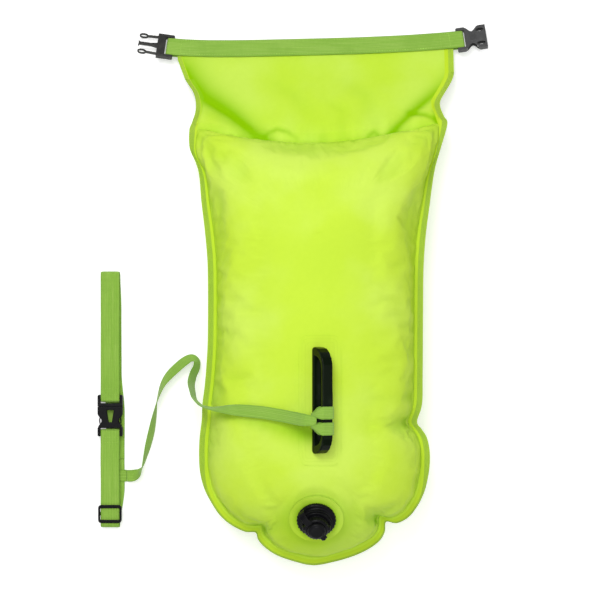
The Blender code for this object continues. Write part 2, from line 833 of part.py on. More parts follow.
def make_roll_top():
    for side, word in ((1, "front"), (-1, "back")):
        make_neck_sheet("neck_" + word, side)
        lift = side * (gap + sheet / 2)
        flap = [(-hem_half_width, flap_length - gap), (hem_half_width, flap_length - gap),
                (fold_right, gap), (fold_left, gap)]
        made = plate("roll_flap_" + word, flap, sheet, parent=flap_axis,
                     place=(0, 0, lift - flap_axis_lift))
        named(made, "roll_flap_" + word, lime, 0.4)
        strip = [hem_place(x, hem_width) for x in hem_stations if abs(x) <= hem_half_width]
        strip += [(hem_half_width, 0), (-hem_half_width, 0)]
        made = plate("mouth_strip_" + word, strip, sheet, parent=hem_axis,
                     place=(0, 0, lift - hem_axis_lift))
        named(made, "mouth_strip_" + word, lime, 0.4)
    stiff_low = 2 * gap + sheet
    low = 1.5 * stiffener_thickness
    inner = [x for x in hem_stations if abs(x) <= stiffener_half_width]
    stiff = [hem_place(x, hem_width - low) for x in inner]
    stiff += [hem_place(x, low) for x in inner[::-1]]
    made = plate("hem_stiffener", stiff, stiffener_thickness, parent=hem_axis,
                 place=(0, 0, stiff_low + stiffener_thickness / 2 - hem_axis_lift))
    named(made, "hem_stiffener", clear, 0.3)
    make_hem_webbing()


def hem_bar_lift():
    """The hem bars lie midway between the webbing's two runs, over the sheets' middle."""
    front_run = 3 * gap + sheet + stiffener_thickness + webbing / 2
    back_run = 2 * gap + sheet + webbing / 2
    return (front_run - back_run) / 2, (front_run + back_run) / 2


def make_hem_webbing():
    """One closed loop of webbing round both hem bars, curved in its own plane."""
    lift, radius = hem_bar_lift()
    turn = 8
    run = [x for x in hem_stations if abs(x) < hem_bar_place]
    path = arc((hem_bar_place, lift), radius, -90, 90, turn)
    path += [(x, lift + radius) for x in run[::-1]]
    path += arc((-hem_bar_place, lift), radius, 90, 270, turn)
    path += [(x, lift - radius) for x in run]
    bm = bmesh.new()
    verts = [bm.verts.new((x, 0, z)) for x, z in path]
    edges = [bm.edges.new(pair) for pair in zip(verts, verts[1:] + verts[:1])]
    grown = bmesh.ops.extrude_edge_only(bm, edges=edges)["geom"]
    across = [v for v in grown if isinstance(v, bmesh.types.BMVert)]
    bmesh.ops.translate(bm, verts=across, vec=(0, hem_width, 0))
    for vert in bm.verts:
        vert.co.x, vert.co.y = hem_place(vert.co.x, vert.co.y)
    bmesh.ops.recalc_face_normals(bm, faces=bm.faces)
    made = object_of(bm, "hem_webbing", hem_axis)
    made.location = (0, 0, -hem_axis_lift)
    wall = made.modifiers.new("thickness", "SOLIDIFY")
    wall.thickness = webbing
    wall.offset = 0
    named(made, "hem_webbing", strap_green, 0.75)


# Side release buckles: x runs from the bar to the other half, y across, z through

def rails(front, back):
    """The half of a buckle that holds the webbing: two horns beside an open slot."""
    wide, inside = buckle_half_width, rail_inside
    nose = (wide - inside) / 2
    ring = [(front, -wide), (front, wide)]
    ring += arc((nose - horn_reach, wide - nose), nose, 90, 180, 4)
    ring += [(nose - horn_reach - nose, inside), (back, inside), (back, -inside)]
    ring += [(nose - horn_reach - nose, -inside)]
    ring += arc((nose - horn_reach, nose - wide), nose, 180, 270, 4)
    return ring


def across_bar(name, parent):
    turn = Matrix.Rotation(math.pi / 2, 4, "X")
    return cylinder(name, bar_radius, 2 * rail_inside + 2 * bar_radius, 12, turn, parent)


def make_male(name, parent, front, with_prong):
    body = plate(name, rails(front, slot_far), buckle_thickness, edge=plate_edge, parent=parent)
    settle(body)
    fuse(body, across_bar("bar", parent))
    tip = front + arm_length
    eye_middle = tip - eye_half_length
    for side in (1, -1):
        ring = [(front - arm_width, side * (arm_root - arm_width / 2)),
                (front - arm_width, side * (arm_root + arm_width / 2)),
                (eye_middle - 0.6 * eye_half_length, side * (arm_tip + arm_width / 2)),
                (eye_middle - 0.6 * eye_half_length, side * (arm_tip - arm_width / 2))]
        arm = plate("arm", ring, arm_thickness, parent=parent)
        eye = plate("eye", ellipse(eye_middle, side * arm_tip, eye_half_length, eye_half_width, 20),
                    arm_thickness - 2 * gap,
                    holes=[ellipse(eye_middle, side * arm_tip, eye_half_length - eye_wall,
                                   eye_half_width - eye_wall, 14)], parent=parent)
        fuse(body, arm, eye)
    if with_prong:
        half, root, head = prong_width / 2, prong_root / 2, prong_head / 2
        ring = [(front - arm_width, root), (front - arm_width, -root),
                (front + arm_length / 3, -half), (tip - half, -half), (tip, -head),
                (tip + gap, -head), (tip - gap, 0), (tip + gap, head), (tip, head),
                (tip - half, half), (front + arm_length / 3, half)]
        fuse(body, plate("prong", ring, arm_thickness - gap, parent=parent))
    return named(body, name, dark, 0.4)


def make_female(name, parent, with_window):
    """An hourglass sleeve: two plates that part at the sides, where the arms' eyes show."""
    wide = buckle_half_width
    slim = belt_waist if with_window else female_waist
    curve_to = shoulder_share * female_length
    waist_at = waist_share * female_length
    ring = [(female_length, -wide), (female_length, wide), (curve_to, wide)]
    ring += [(curve_to + (waist_at - curve_to) * t, slim + (wide - slim)
              * (0.5 + 0.5 * math.cos(math.pi * t))) for t in (0.25, 0.5, 0.75, 1)]
    block = slot_far - gap
    ring += [(waist_at + (block - waist_at) * t, slim + (wide - slim)
              * (0.5 - 0.5 * math.cos(math.pi * t))) for t in (0.3, 0.6)]
    ring += [(x, y) for x, y in rails(block, block)[1:-1] if y > 0]
    ring += [(x, -y) for x, y in ring[::-1] if (x, y) != (female_length, wide)][:-1]
    body = plate(name, ring, buckle_thickness, edge=plate_edge, parent=parent)
    settle(body)
    fuse(body, across_bar("bar", parent))
    hollow = box("hollow", (female_floor, -mouth_half_width, -mouth_height / 2),
                 (female_length + buckle_half_width, mouth_half_width, mouth_height / 2), parent)
    cut_away(body, hollow)
    if with_window:
        near, far = female_length * window_near_share, female_length * window_far_share
        ring = [(near, -window_near_half), (near, window_near_half), (far, window_far_half),
                (far, -window_far_half)]
        cut_away(body, plate("window", ring, 2 * buckle_thickness, parent=parent))
    else:
        for way in (1, -1):
            eye = ellipse(eye_window_share * female_length,
                          way * eye_window_out_share * buckle_half_width,
                          eye_window_long_share * female_length,
                          eye_window_wide_share * buckle_half_width, 14)
            cut_away(body, plate("window", eye, 2 * buckle_thickness, parent=parent))
    return named(body, name, dark if with_window else grey, 0.45)


def make_hem_buckles():
    lift = hem_bar_lift()[0] - hem_axis_lift
    for side, word in ((-1, "male"), (1, "female")):
        slope = hem_curve(side * hem_bar_place)[1]
        place = (*hem_place(side * hem_bar_place, hem_width / 2), lift)
        turn = Matrix.Rotation(math.atan(slope) + (math.pi if side < 0 else 0), 4, "Z")
        axis = frame_at("hem_" + word + "_axis", place, turn, hem_axis)
        swing = frame_at("hem_" + word + "_swing", (0, 0, 0),
                         Matrix.Rotation(-hem_tip_lift, 4, "Y"), axis)
        if side < 0:
            make_male("hem_buckle_male", swing, hem_male_front, True)
        else:
            make_female("hem_buckle_female", swing, False)


# Belt

belt_bar_height = belt_high - bar_radius - gap - webbing / 2
belt_turn_radius = (belt_high - belt_low) / 2
belt_turn_height = (belt_high + belt_low) / 2
belt_female_bar = belt_male_bar - belt_male_front - gap - female_length


def sway(along):
    """How far the belt's lower run lies to the right, between its two folds."""
    ease = 3 * belt_tail
    wide = belt_sway_high + (belt_sway - belt_sway_high) * soft_step((belt_sway_turn - along) / ease)
    return wide * soft_step((belt_top - along) / ease) * soft_step((along - belt_bottom) / ease)


def belt_loop(bar, way):
    """The webbing's stitched end under the upper run and its turn round a buckle's bar."""
    radius = bar_radius + gap + webbing / 2
    tail_height = belt_high - webbing - gap
    start = [(bar + way * belt_tail, tail_height), (bar + way * belt_tail * 0.75, tail_height),
             (bar + way * belt_tail * 0.4, belt_bar_height - radius + webbing)]
    turn = [(bar + way * x, z) for x, z in arc((0, 0), radius, -90, -270, 8)]
    return start + [(y, belt_bar_height + z) for y, z in turn]


def lower_run(start, end, steps):
    return [(start + (end - start) * k / steps, belt_low) for k in range(1, steps + 1)]


def make_belt():
    top = belt_loop(belt_male_bar, 1)
    reach = belt_top - belt_turn_radius
    path = top + [(y, belt_turn_height + z) for y, z in
                  arc((reach, 0), belt_turn_radius, 90, -90, 8)]
    path += lower_run(reach, belt_split + gap / 2, 10)
    points = [(belt_x + (sway(y) if z < belt_turn_height and y < reach and k > len(top) else 0), y, z)
              for k, (y, z) in enumerate(path)]
    male_frame = frame_at("belt_male_slide", (0, 0, 0))
    made = strap("belt_webbing_upper", points, hem_width, webbing, parent=male_frame)
    named(made, "belt_webbing_upper", strap_green, 0.75)
    low = belt_loop(belt_female_bar, -1)
    foot = belt_bottom + belt_turn_radius
    path = low + [(y, belt_turn_height + z) for y, z in
                  arc((foot, 0), belt_turn_radius, 90, 270, 8)]
    path += lower_run(foot, belt_split - gap / 2, 4)
    points = [(belt_x + (sway(y) if z < belt_turn_height and y > foot and k > len(low) else 0), y, z)
              for k, (y, z) in enumerate(path)]
    named(strap("belt_webbing_lower", points, hem_width, webbing), "belt_webbing_lower",
          strap_green, 0.75)
    down = Matrix.Rotation(-math.pi / 2, 4, "Z")
    bar = frame_at("belt_male_bar", (belt_x, belt_male_bar, belt_bar_height), down, male_frame)
    make_male("belt_buckle_male", bar, belt_male_front, False)
    up = Matrix.Rotation(math.pi / 2, 4, "Z")
    bar = frame_at("belt_female_bar", (belt_x, belt_female_bar, belt_bar_height), up)
    make_female("belt_buckle_female", bar, True)
    make_slider()


def make_slider():
    """Three-bar slider: end bars over the webbing, the middle bar under it."""
    slide = frame_at("belt_slider_slide", (belt_x, slider_along, belt_high))
    reach = webbing / 2 + gap + slider_bar_thickness
    window = rounded(rail_inside + gap, slider_half_length - slider_bar,
                     slider_window_corner, 2)
    body = plate("belt_slider", rounded(slider_half_width, slider_half_length, slider_corner, 4),
                 slider_bar_thickness, holes=[window], parent=slide,
                 place=(0, 0, reach - slider_bar_thickness / 2))
    for side in (1, -1):
        low = (side * (rail_inside + gap) if side > 0 else -slider_half_width + gap,
               gap - slider_half_length + slider_corner, -reach)
        high = (slider_half_width - gap if side > 0 else -rail_inside - gap,
                slider_half_length - slider_corner - gap, reach - gap)
        fuse(body, box("rail", low, high, slide))
    bar = box("middle_bar", (-slider_half_width + 2 * gap, -slider_bar / 2, -reach + gap),
              (slider_half_width - 2 * gap, slider_bar / 2, gap - reach + slider_bar_thickness - gap),
              slide)
    fuse(body, bar)
    named(body, "belt_slider", dark, 0.4)


# Handle

def make_handle():
    base_top = front_height(handle_x, handle_along) + gap + patch_thickness
    place = Vector((handle_x, handle_along, base_top + gap))
    frame = frame_at("handle_frame", place)
    make_patch()
    # side view of the arch: y along the handle, z up; leant over about the base
    half, rise = handle_half_length - gap, handle_height
    foot, toe = handle_foot, handle_toe
    outer = [(-half, 0), (half, 0), (half, toe)]
    outer += [(half - foot * (1 - math.cos(math.radians(a))),
               toe + (rise - toe) * math.sin(math.radians(a))) for a in (20, 40, 60, 78)]
    outer += [(0, rise + gap)]
    outer += [(-y, z) for y, z in outer[2:-1][::-1]]
    inside = half - handle_leg
    under = rise - handle_grip_thickness
    floor = handle_base_thickness + handle_hole_lift
    hole = [(inside, floor)]
    hole += [(inside - (foot - handle_leg) * (1 - math.cos(math.radians(a))),
              floor + (under - floor) * math.sin(math.radians(a))) for a in (20, 42, 64, 85)]
    hole += [(-y, z) for y, z in hole[::-1]]
    arch = plate("handle", outer, handle_grip_width, holes=[hole], parent=frame)
    arch.matrix_local = (
        Matrix.Translation((0, 0, gap))
        @ Matrix.Rotation(handle_lean, 4, "Y")
        @ Matrix.Rotation(math.pi / 2, 4, "Z") @ Matrix.Rotation(math.pi / 2, 4, "X")
    )
    bevel(arch, handle_rounding, 2)
    bpy.context.view_layer.update()
    settle(arch)
    base = plate("base", rounded(handle_base_width / 2, handle_half_length, handle_base_corner, 4),
                 handle_base_thickness, edge=plate_edge, parent=frame,
                 place=(0, 0, handle_base_thickness / 2))
    settle(base)
    below = box("below", (-handle_half_length, -2 * handle_half_length, -handle_height),
                (handle_half_length, 2 * handle_half_length, handle_sink), frame)
    cut_away(arch, below)
    fuse(arch, base)
    named(arch, "handle", dark, 0.25)
    make_hitch(frame)
    return place


def make_patch():
    """The welded patch under the handle, laid over the crown."""
    columns, lines = 8, 16
    bm = bmesh.new()
    grid = []
    for column in range(columns + 1):
        row = []
        for line in range(lines + 1):
            u, v = 2 * column / columns - 1, 2 * line / lines - 1
            draw = 1 - 0.16 * (u * v) ** 6
            x = handle_x + patch_shift + patch_half_width * u * draw
            y = handle_along + patch_half_length * v * (1 - 0.06 * (u * v) ** 6)
            row.append(bm.verts.new((x, y, front_height(x, y) + 1.5 * gap)))
        grid.append(row)
    for row, after in zip(grid, grid[1:]):
        for k in range(lines):
            bm.faces.new((row[k], after[k], after[k + 1], row[k + 1]))
    made = object_of(bm, "handle_patch")
    wall = made.modifiers.new("fabric", "SOLIDIFY")
    wall.thickness = patch_thickness
    wall.offset = 1
    named(made, "handle_patch", lime, 0.4)


def make_hitch(frame):
    """The leash's end hitched round the grip: two lobes that meet in a neck on the left."""
    middle = handle_height - handle_grip_thickness / 2 + gap / 2
    grip = Matrix.Translation((0, 0, gap)) @ Matrix.Rotation(handle_lean, 4, "Y")
    grip = grip @ Matrix.Translation((0, 0, middle))
    inner_x = handle_grip_width / 2 + gap
    inner_z = handle_grip_thickness / 2 + 1.5 * gap
    made = None
    step = (leash_width + hitch_parting) / 2
    for side in (1, -1):
        lobe = plate("leash_handle_hitch",
                     rounded(inner_x + hitch_wall, inner_z + hitch_wall, hitch_corner, 3), leash_width,
                     holes=[rounded(inner_x, inner_z, hitch_corner - hitch_wall, 2)],
                     parent=frame)
        lobe.matrix_local = (
            grip @ Matrix.Translation((0, hitch_place + side * step, 0))
            @ Matrix.Rotation(math.pi / 2, 4, "X")
        )
        bpy.context.view_layer.update()
        made = fuse(made, lobe) if made else lobe
    left = -inner_x - hitch_wall
    low = (left - leash_thickness, hitch_place - leash_width * 0.8, -1.5 * leash_thickness)
    high = (left + hitch_wall * 0.7, hitch_place + leash_width * 0.8, 1.5 * leash_thickness)
    bridge = box("bridge", low, high, frame)
    bridge.matrix_local = grip
    bpy.context.view_layer.update()
    fuse(made, bridge)
    named(made, "leash_handle_hitch", strap_green, 0.75)


# Air valve, in its own frame: z = 0 at the top of its patch

def make_valve():
    seat = frame_at("valve_seat", (0, 0, 0), valve_matrix())
    ring = ellipse(0, 0, valve_patch_radius, valve_patch_radius, 40)
    hole = ellipse(0, 0, valve_neck_radius + gap, valve_neck_radius + gap, 32)
    made = plate("valve_patch", ring, fabric, holes=[hole], parent=seat, place=(0, 0, -fabric / 2))
    named(made, "valve_patch", lime, 0.4)
    flange_top = -fabric - gap
    flange_low = flange_top - valve_flange_thickness
    collar_low = gap
    base = [
        (valve_bore_radius, valve_base_height), (valve_step_radius - plate_edge, valve_base_height),
        (valve_step_radius, valve_base_height - plate_edge),
        (valve_step_radius, valve_collar_height + 0.6 * valve_step_fillet),
        (valve_step_radius + valve_step_fillet, valve_collar_height),
        (valve_collar_radius - valve_collar_edge, valve_collar_height),
        (valve_collar_radius, valve_collar_height - valve_collar_edge),
        (valve_collar_radius, collar_low),
        (valve_neck_radius, collar_low), (valve_neck_radius, flange_top),
        (valve_flange_radius, flange_top), (valve_flange_radius, flange_low),
        (valve_bore_radius, flange_low),
    ]
    named(turned("valve_base", base, 36, seat), "valve_base", dark, 0.45)
    lift = frame_at("valve_seal_slide", (0, 0, valve_base_height + gap), parent=seat)
    seal = [
        (gasket_inside, gasket_thickness), (gasket_outside - gap, gasket_thickness),
        (gasket_outside, gasket_thickness - gap), (gasket_outside, gap), (gasket_outside - gap, 0),
        (gasket_inside, 0),
    ]
    named(turned("valve_seal", seal, 32, lift), "valve_seal", clear, 0.6)
    spin = frame_at("valve_insert_axis", (0, 0, -gap - valve_base_height), parent=lift)
    make_insert(spin)
    make_tether(spin)
    make_valve_flap(spin)
    make_cap(spin)


def collar_low():
    return valve_base_height + 2 * gap + max(gasket_thickness, tether_thickness) + gap


def make_insert(parent):
    low = collar_low()
    high = low + collar_thickness
    profile = [
        (insert_bore_radius + insert_lip, knob_top), (knob_radius - knob_edge, knob_top),
        (knob_radius, knob_top - knob_edge), (knob_radius, high + knob_foot),
        (knob_radius - knob_foot / 2, high), (collar_radius - plate_edge, high),
        (collar_radius, high - plate_edge), (collar_radius, low), (insert_radius, low),
        (insert_radius, insert_edge - insert_depth), (insert_radius - insert_edge, -insert_depth),
        (insert_bore_radius + insert_recess, -insert_depth),
        (insert_bore_radius + insert_recess, high), (insert_bore_radius, high + knob_foot),
        (insert_bore_radius, knob_top - insert_edge),
    ]
    body = turned("valve_insert", profile, 32, parent)
    settle(body)
    middle = (high + knob_top) / 2
    half = (knob_top - high) / 2 - knob_edge
    for side in (1, -1):
        inner = side * (knob_radius - knob_edge)
        outer = side * wing_reach
        wing = box("wing", (min(inner, outer), -wing_width / 2, middle - half),
                   (max(inner, outer), wing_width / 2, middle + half), parent)
        bevel(wing, insert_lip, 1)
        settle(wing)
        fuse(body, wing)
    # the grid that the flap closes, with its middle boss
    grid_low = insert_lip - insert_depth
    grid_reach = insert_bore_radius + insert_recess + insert_edge
    for turn in (0, math.pi / 2):
        bar = box("grid_bar", (-grid_reach, -grid_bar / 2, grid_low),
                  (grid_reach, grid_bar / 2, grid_low + grid_bar), parent)
        bar.rotation_euler = (0, 0, turn + math.radians(45))
        bpy.context.view_layer.update()
        fuse(body, bar)
    boss = cylinder("boss", boss_radius, 1.3 * grid_bar, 16,
                    Matrix.Translation((0, 0, grid_low + grid_bar * 0.5)), parent)
    fuse(body, boss)
    drill = cylinder("drill", stem_radius + gap, 8 * grid_bar, 12,
                     Matrix.Translation((0, 0, grid_low)), parent)
    cut_away(body, drill)
    named(body, "valve_insert", dark, 0.35)


def make_valve_flap(parent):
    """The rubber disc that lets air in and shuts under the grid, on its pulled-through stem."""
    top = -insert_depth - gap
    edge = flap_disc_radius
    head = insert_lip - insert_depth + 1.15 * grid_bar + gap + flap_travel
    profile = [
        (0, head + stem_head), (stem_radius, head + stem_head - gap),
        (stem_radius + stem_barb, head + gap), (stem_radius + 0.7 * stem_barb, head),
        (stem_radius, head), (stem_radius, top), (edge, top),
        (edge, top - 0.6 * flap_disc_thickness), (edge - flap_disc_taper, top - flap_disc_thickness),
        (0, top - 1.5 * flap_disc_thickness),
    ]
    named(turned("valve_flap", profile, 24, parent), "valve_flap", clear, 0.6)


def make_tether(parent):
    """A ring clamped under the insert's collar, and the strap that bends back up to the cap."""
    low = valve_base_height + 2 * gap
    body = plate("valve_tether", ellipse(0, 0, tether_ring_outside, tether_ring_outside, 32),
                 tether_thickness, holes=[ellipse(0, 0, tether_ring_inside, tether_ring_inside, 32)],
                 parent=parent, place=(0, 0, low + tether_thickness / 2 - gap))
    height = low + tether_thickness / 2 - gap
    strap_thickness = tether_thickness - 2 * gap
    top = knob_top + gap + cap_thickness / 2
    bend = (top - height) / 2
    out = tether_reach - bend
    run = [(tether_ring_outside - tether_lap, height), (out, height)]
    run += [(x, height + bend + z) for x, z in arc((out, 0), bend, -60, 90, 6)]
    run += [(cap_radius + gap + strap_thickness, top)]
    band = strap("strap", [(0, x, z) for x, z in run], tether_width, strap_thickness, parent=parent)
    band.rotation_euler = (0, 0, tether_angle - math.pi / 2)
    body.rotation_euler = (0, 0, tether_angle)
    bpy.context.view_layer.update()
    settle(band)
    fuse(body, band)
    named(body, "valve_tether", dark, 0.5)


def make_cap(parent):
    hinge = Vector((math.cos(tether_angle), math.sin(tether_angle), 0)) * cap_hinge_share * cap_radius
    hinge.z = knob_top + gap
    axis = frame_at("valve_cap_axis", hinge, Matrix.Rotation(tether_angle, 4, "Z"), parent)
    back = Matrix.Translation((-cap_hinge_share * cap_radius, 0, 0))
    profile = [
        (0, cap_thickness), (cap_radius - 3 * cap_edge, cap_thickness),
        (cap_radius - 2 * cap_edge, cap_thickness - 0.9 * cap_edge),
        (cap_radius - 0.9 * cap_edge, cap_thickness - 1.1 * cap_edge),
        (cap_radius, cap_thickness - 2.2 * cap_edge),
        (cap_radius, gap), (cap_radius - gap, 0), (plug_radius, 0),
        (plug_radius - gap, cap_edge - plug_depth), (plug_radius - cap_edge, -plug_depth),
        (0, -plug_depth),
    ]
    body = turned("valve_cap", profile, 32, axis)
    body.matrix_local = back
    bpy.context.view_layer.update()
    settle(body)
    half = tab_width / 2
    slim = half - 0.4 * tab_corner
    ring = [(tab_lap - cap_radius, -half), (tab_lap - cap_radius, half),
            (tab_lap - tab_reach, slim), (-tab_reach, half - tab_corner),
            (-tab_reach, tab_corner - half), (tab_lap - tab_reach, -slim)]
    tab = plate("tab", ring, tab_thickness, edge=plate_edge, parent=axis)
    tab.matrix_local = back @ Matrix.Translation((0, 0, cap_thickness / 2))
    bpy.context.view_layer.update()
    settle(tab)
    fuse(body, tab)
    named(body, "valve_cap", dark, 0.35)


# Leash

def make_leash(handle_place):
    """The free webbing between the handle's hitch and the belt, rolled as it lies."""
    hitch = handle_place + Vector((0, hitch_place, handle_height))
    loop = Vector((belt_x + sway(leash_loop_along), leash_loop_along, belt_low))
    places = [hitch.lerp(loop, share) + Vector((x * mm, y * mm, z * mm))
              for share, x, y, z, roll in leash_route]
    rolls = [math.radians(roll) for share, x, y, z, roll in leash_route]
    line = smooth_line(places, 2)
    roll_line = smooth_line(rolls, 2)
    bm = bmesh.new()
    rows = []
    half = leash_width / 2
    thick = leash_thickness / 2
    for k, place in enumerate(line):
        ahead = line[min(k + 1, len(line) - 1)] - line[max(k - 1, 0)]
        level = Vector((-ahead.y, ahead.x, 0)).normalized()
        up = ahead.normalized().cross(level).normalized()
        up = up if up.z >= 0 else -up
        side = level * math.cos(roll_line[k]) + up * math.sin(roll_line[k])
        face = ahead.normalized().cross(side).normalized()
        corners = (side * half + face * thick, side * half - face * thick,
                   -side * half - face * thick, face * thick - side * half)
        rows.append([bm.verts.new(place + corner) for corner in corners])
    for row, after in zip(rows, rows[1:]):
        for k in range(4):
            other = (k + 1) % 4
            bm.faces.new((row[k], row[other], after[other], after[k]))
    bm.faces.new(rows[0])
    bm.faces.new(rows[-1])
    bmesh.ops.recalc_face_normals(bm, faces=bm.faces)
    named(object_of(bm, "leash_webbing"), "leash_webbing", strap_green, 0.75)
    length = sum((b - a).length for a, b in zip(line, line[1:]))
    print(f"leash length {length:.4f} m")


def make_leash_loop():
    """The leash's stitched loop round the belt's lower run."""
    radius = webbing / 2 + gap + leash_thickness / 2
    run = leash_loop_half_width
    path = [(run + x, z) for x, z in arc((0, 0), radius, -90, 90, 6)]
    path += [(x - run, z) for x, z in arc((0, 0), radius, 90, 270, 6)]
    bm = bmesh.new()
    verts = [bm.verts.new((x, -leash_width / 2, z)) for x, z in path]
    edges = [bm.edges.new(pair) for pair in zip(verts, verts[1:] + verts[:1])]
    grown = bmesh.ops.extrude_edge_only(bm, edges=edges)["geom"]
    across = [v for v in grown if isinstance(v, bmesh.types.BMVert)]
    bmesh.ops.translate(bm, verts=across, vec=(0, leash_width, 0))
    bmesh.ops.recalc_face_normals(bm, faces=bm.faces)
    made = object_of(bm, "leash_belt_loop")
    made.location = (belt_x + sway(leash_loop_along), leash_loop_along, belt_low)
    wall = made.modifiers.new("thickness", "SOLIDIFY")
    wall.thickness = leash_thickness - gap / 3
    wall.offset = 0
    named(made, "leash_belt_loop", strap_green, 0.75)


def report_axes(handle_place):
    """Prints where the joints' axes are, in metres."""
    bpy.context.view_layer.update()
    for word in ("roll_flap_axis", "hem_axis", "hem_male_axis", "hem_female_axis",
                 "valve_seal_slide", "valve_insert_axis", "valve_cap_axis"):
        matrix = bpy.data.objects[word].matrix_world
        place = [round(value, 6) for value in matrix.translation]
        axes = [[round(value, 6) for value in matrix.col[k][:3]] for k in range(3)]
        print(word, place, axes)
    print("handle", [round(value, 6) for value in handle_place])


make_chamber()
make_rim()
make_roll_top()
make_hem_buckles()
make_belt()
make_leash_loop()
handle_spot = make_handle()
make_leash(handle_spot)
make_valve()
report_axes(handle_spot)
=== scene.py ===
import json
import math
from contextlib import contextmanager

import bmesh
import bpy
import numpy as np
from mathutils import Matrix, Vector, noise


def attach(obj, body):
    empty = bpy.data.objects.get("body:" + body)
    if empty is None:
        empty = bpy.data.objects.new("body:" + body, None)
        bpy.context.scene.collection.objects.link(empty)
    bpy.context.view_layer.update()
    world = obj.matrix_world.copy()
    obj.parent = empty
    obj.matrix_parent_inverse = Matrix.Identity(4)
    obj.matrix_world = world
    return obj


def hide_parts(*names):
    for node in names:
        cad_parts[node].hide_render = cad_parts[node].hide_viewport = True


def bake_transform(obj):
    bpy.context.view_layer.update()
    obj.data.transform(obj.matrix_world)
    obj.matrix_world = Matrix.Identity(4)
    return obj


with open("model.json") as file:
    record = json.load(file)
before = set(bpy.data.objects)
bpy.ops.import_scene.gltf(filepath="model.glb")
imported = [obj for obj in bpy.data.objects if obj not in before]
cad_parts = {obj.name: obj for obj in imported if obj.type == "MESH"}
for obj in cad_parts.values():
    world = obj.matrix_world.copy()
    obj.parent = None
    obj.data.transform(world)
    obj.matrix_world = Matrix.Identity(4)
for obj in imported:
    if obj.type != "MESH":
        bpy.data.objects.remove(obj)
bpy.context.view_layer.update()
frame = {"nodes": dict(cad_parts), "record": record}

mm = 0.001
joints = {joint["name"]: joint for joint in frame["record"]["behaviour"]["joints"]}


def linked(name, data):
    made = bpy.data.objects.new(name, data)
    bpy.context.scene.collection.objects.link(made)
    return made


# Camera and light

view = {"place": (-0.020, 0.0, 2.2), "lens": 99.0, "sensor": 36.0, "far": 20}
lights = {
    "key": {"place": (-0.55, 1.25, 2.3), "size": 1.1, "power": 30.0},
    "fill": {"place": (1.5, -0.7, 2.0), "size": 2.0, "power": 6.0},
    "top": {"place": (0.0, 0.2, 3.4), "size": 1.6, "power": 27.0},
    "low": {"place": (-0.2, -1.9, 1.5), "size": 1.6, "power": 6.0},
}
studio = {"target": (0, 0, 0.05), "ambient": 0.40}


def makeCamera():
    data = bpy.data.cameras.new("camera")
    data.lens = view["lens"]
    data.sensor_width = view["sensor"]
    data.clip_end = view["far"]
    camera = linked("camera", data)
    camera.location = view["place"]
    bpy.context.scene.camera = camera


def makeLights():
    for name, setting in lights.items():
        data = bpy.data.lights.new(name, "AREA")
        data.shape = "DISK"
        data.size = setting["size"]
        data.energy = setting["power"]
        lamp = linked(name, data)
        lamp.location = setting["place"]
        aim = Vector(studio["target"]) - lamp.location
        lamp.rotation_euler = aim.to_track_quat("-Z", "Y").to_euler()
    world = bpy.data.worlds.new("world")
    world.use_nodes = True
    background = world.node_tree.nodes["Background"]
    background.inputs["Color"].default_value = (1, 1, 1, 1)
    background.inputs["Strength"].default_value = studio["ambient"]
    bpy.context.scene.world = world
    bpy.context.scene.view_settings.view_transform = "Standard"


# Node helpers

def fill(tree, node, sockets):
    # i with a number names a socket by its place, and an underscore stands for a space
    for key, value in sockets.items():
        socket = node.inputs[int(key[1:]) if key[1:].isdigit() else key.replace("_", " ")]
        if isinstance(value, bpy.types.NodeSocket):
            tree.links.new(value, socket)
        else:
            socket.default_value = value


def addNode(tree, kind, settings=None, **sockets):
    made = tree.nodes.new(kind if "Node" in kind else "ShaderNode" + kind)
    for key, value in (settings or {}).items():
        setattr(made, key, value)
    fill(tree, made, sockets)
    return made


def feed(tree, **sockets):
    fill(tree, tree.nodes["Principled BSDF"], sockets)


def calc(tree, operation, *values):
    sockets = {f"i{k}": value for k, value in enumerate(values)}
    return addNode(tree, "Math", {"operation": operation}, **sockets).outputs[0]


def times(tree, first, second):
    return calc(tree, "MULTIPLY", first, second)


def timesPlus(tree, value, factor, addition):
    return calc(tree, "MULTIPLY_ADD", value, factor, addition)


def mixColour(tree, share, *colours):
    first, second = (value if isinstance(value, bpy.types.NodeSocket) else (*value, 1) for value in colours)
    return addNode(tree, "Mix", {"data_type": "RGBA"}, i0=share, i6=first, i7=second).outputs[2]


def ramp(tree, value, low, high):
    settings = {"clamp": True, "interpolation_type": "SMOOTHSTEP"}
    return addNode(tree, "MapRange", settings, i0=value, i1=low, i2=high).outputs[0]


def objectCoords(tree):
    return addNode(tree, "TexCoord").outputs["Object"]


def clouds(tree, scale, detail, roughness=0.5, where=None):
    made = addNode(tree, "TexNoise", None, Scale=scale, Detail=detail, Roughness=roughness)
    tree.links.new(where or objectCoords(tree), made.inputs["Vector"])
    return made.outputs[0]


def shadeOf(tree):
    return addNode(tree, "Attribute", {"attribute_name": "shade"}).outputs["Fac"]


def laneOf(tree):
    lane = addNode(tree, "Attribute", {"attribute_name": "lane"}).outputs["Vector"]
    return addNode(tree, "SeparateXYZ", None, Vector=lane).outputs[:2]


def bump(tree, height, distance, strength):
    made = addNode(tree, "Bump", None, Height=height, Distance=distance, Strength=strength)
    feed(tree, Normal=made.outputs[0])


def newMaterial(name, roughness, specular, sheen=0.0):
    made = bpy.data.materials.new(name)
    made.use_nodes = True
    feed(made.node_tree, Roughness=roughness, Specular_IOR_Level=specular, Sheen_Weight=sheen)
    return made, made.node_tree


# Materials

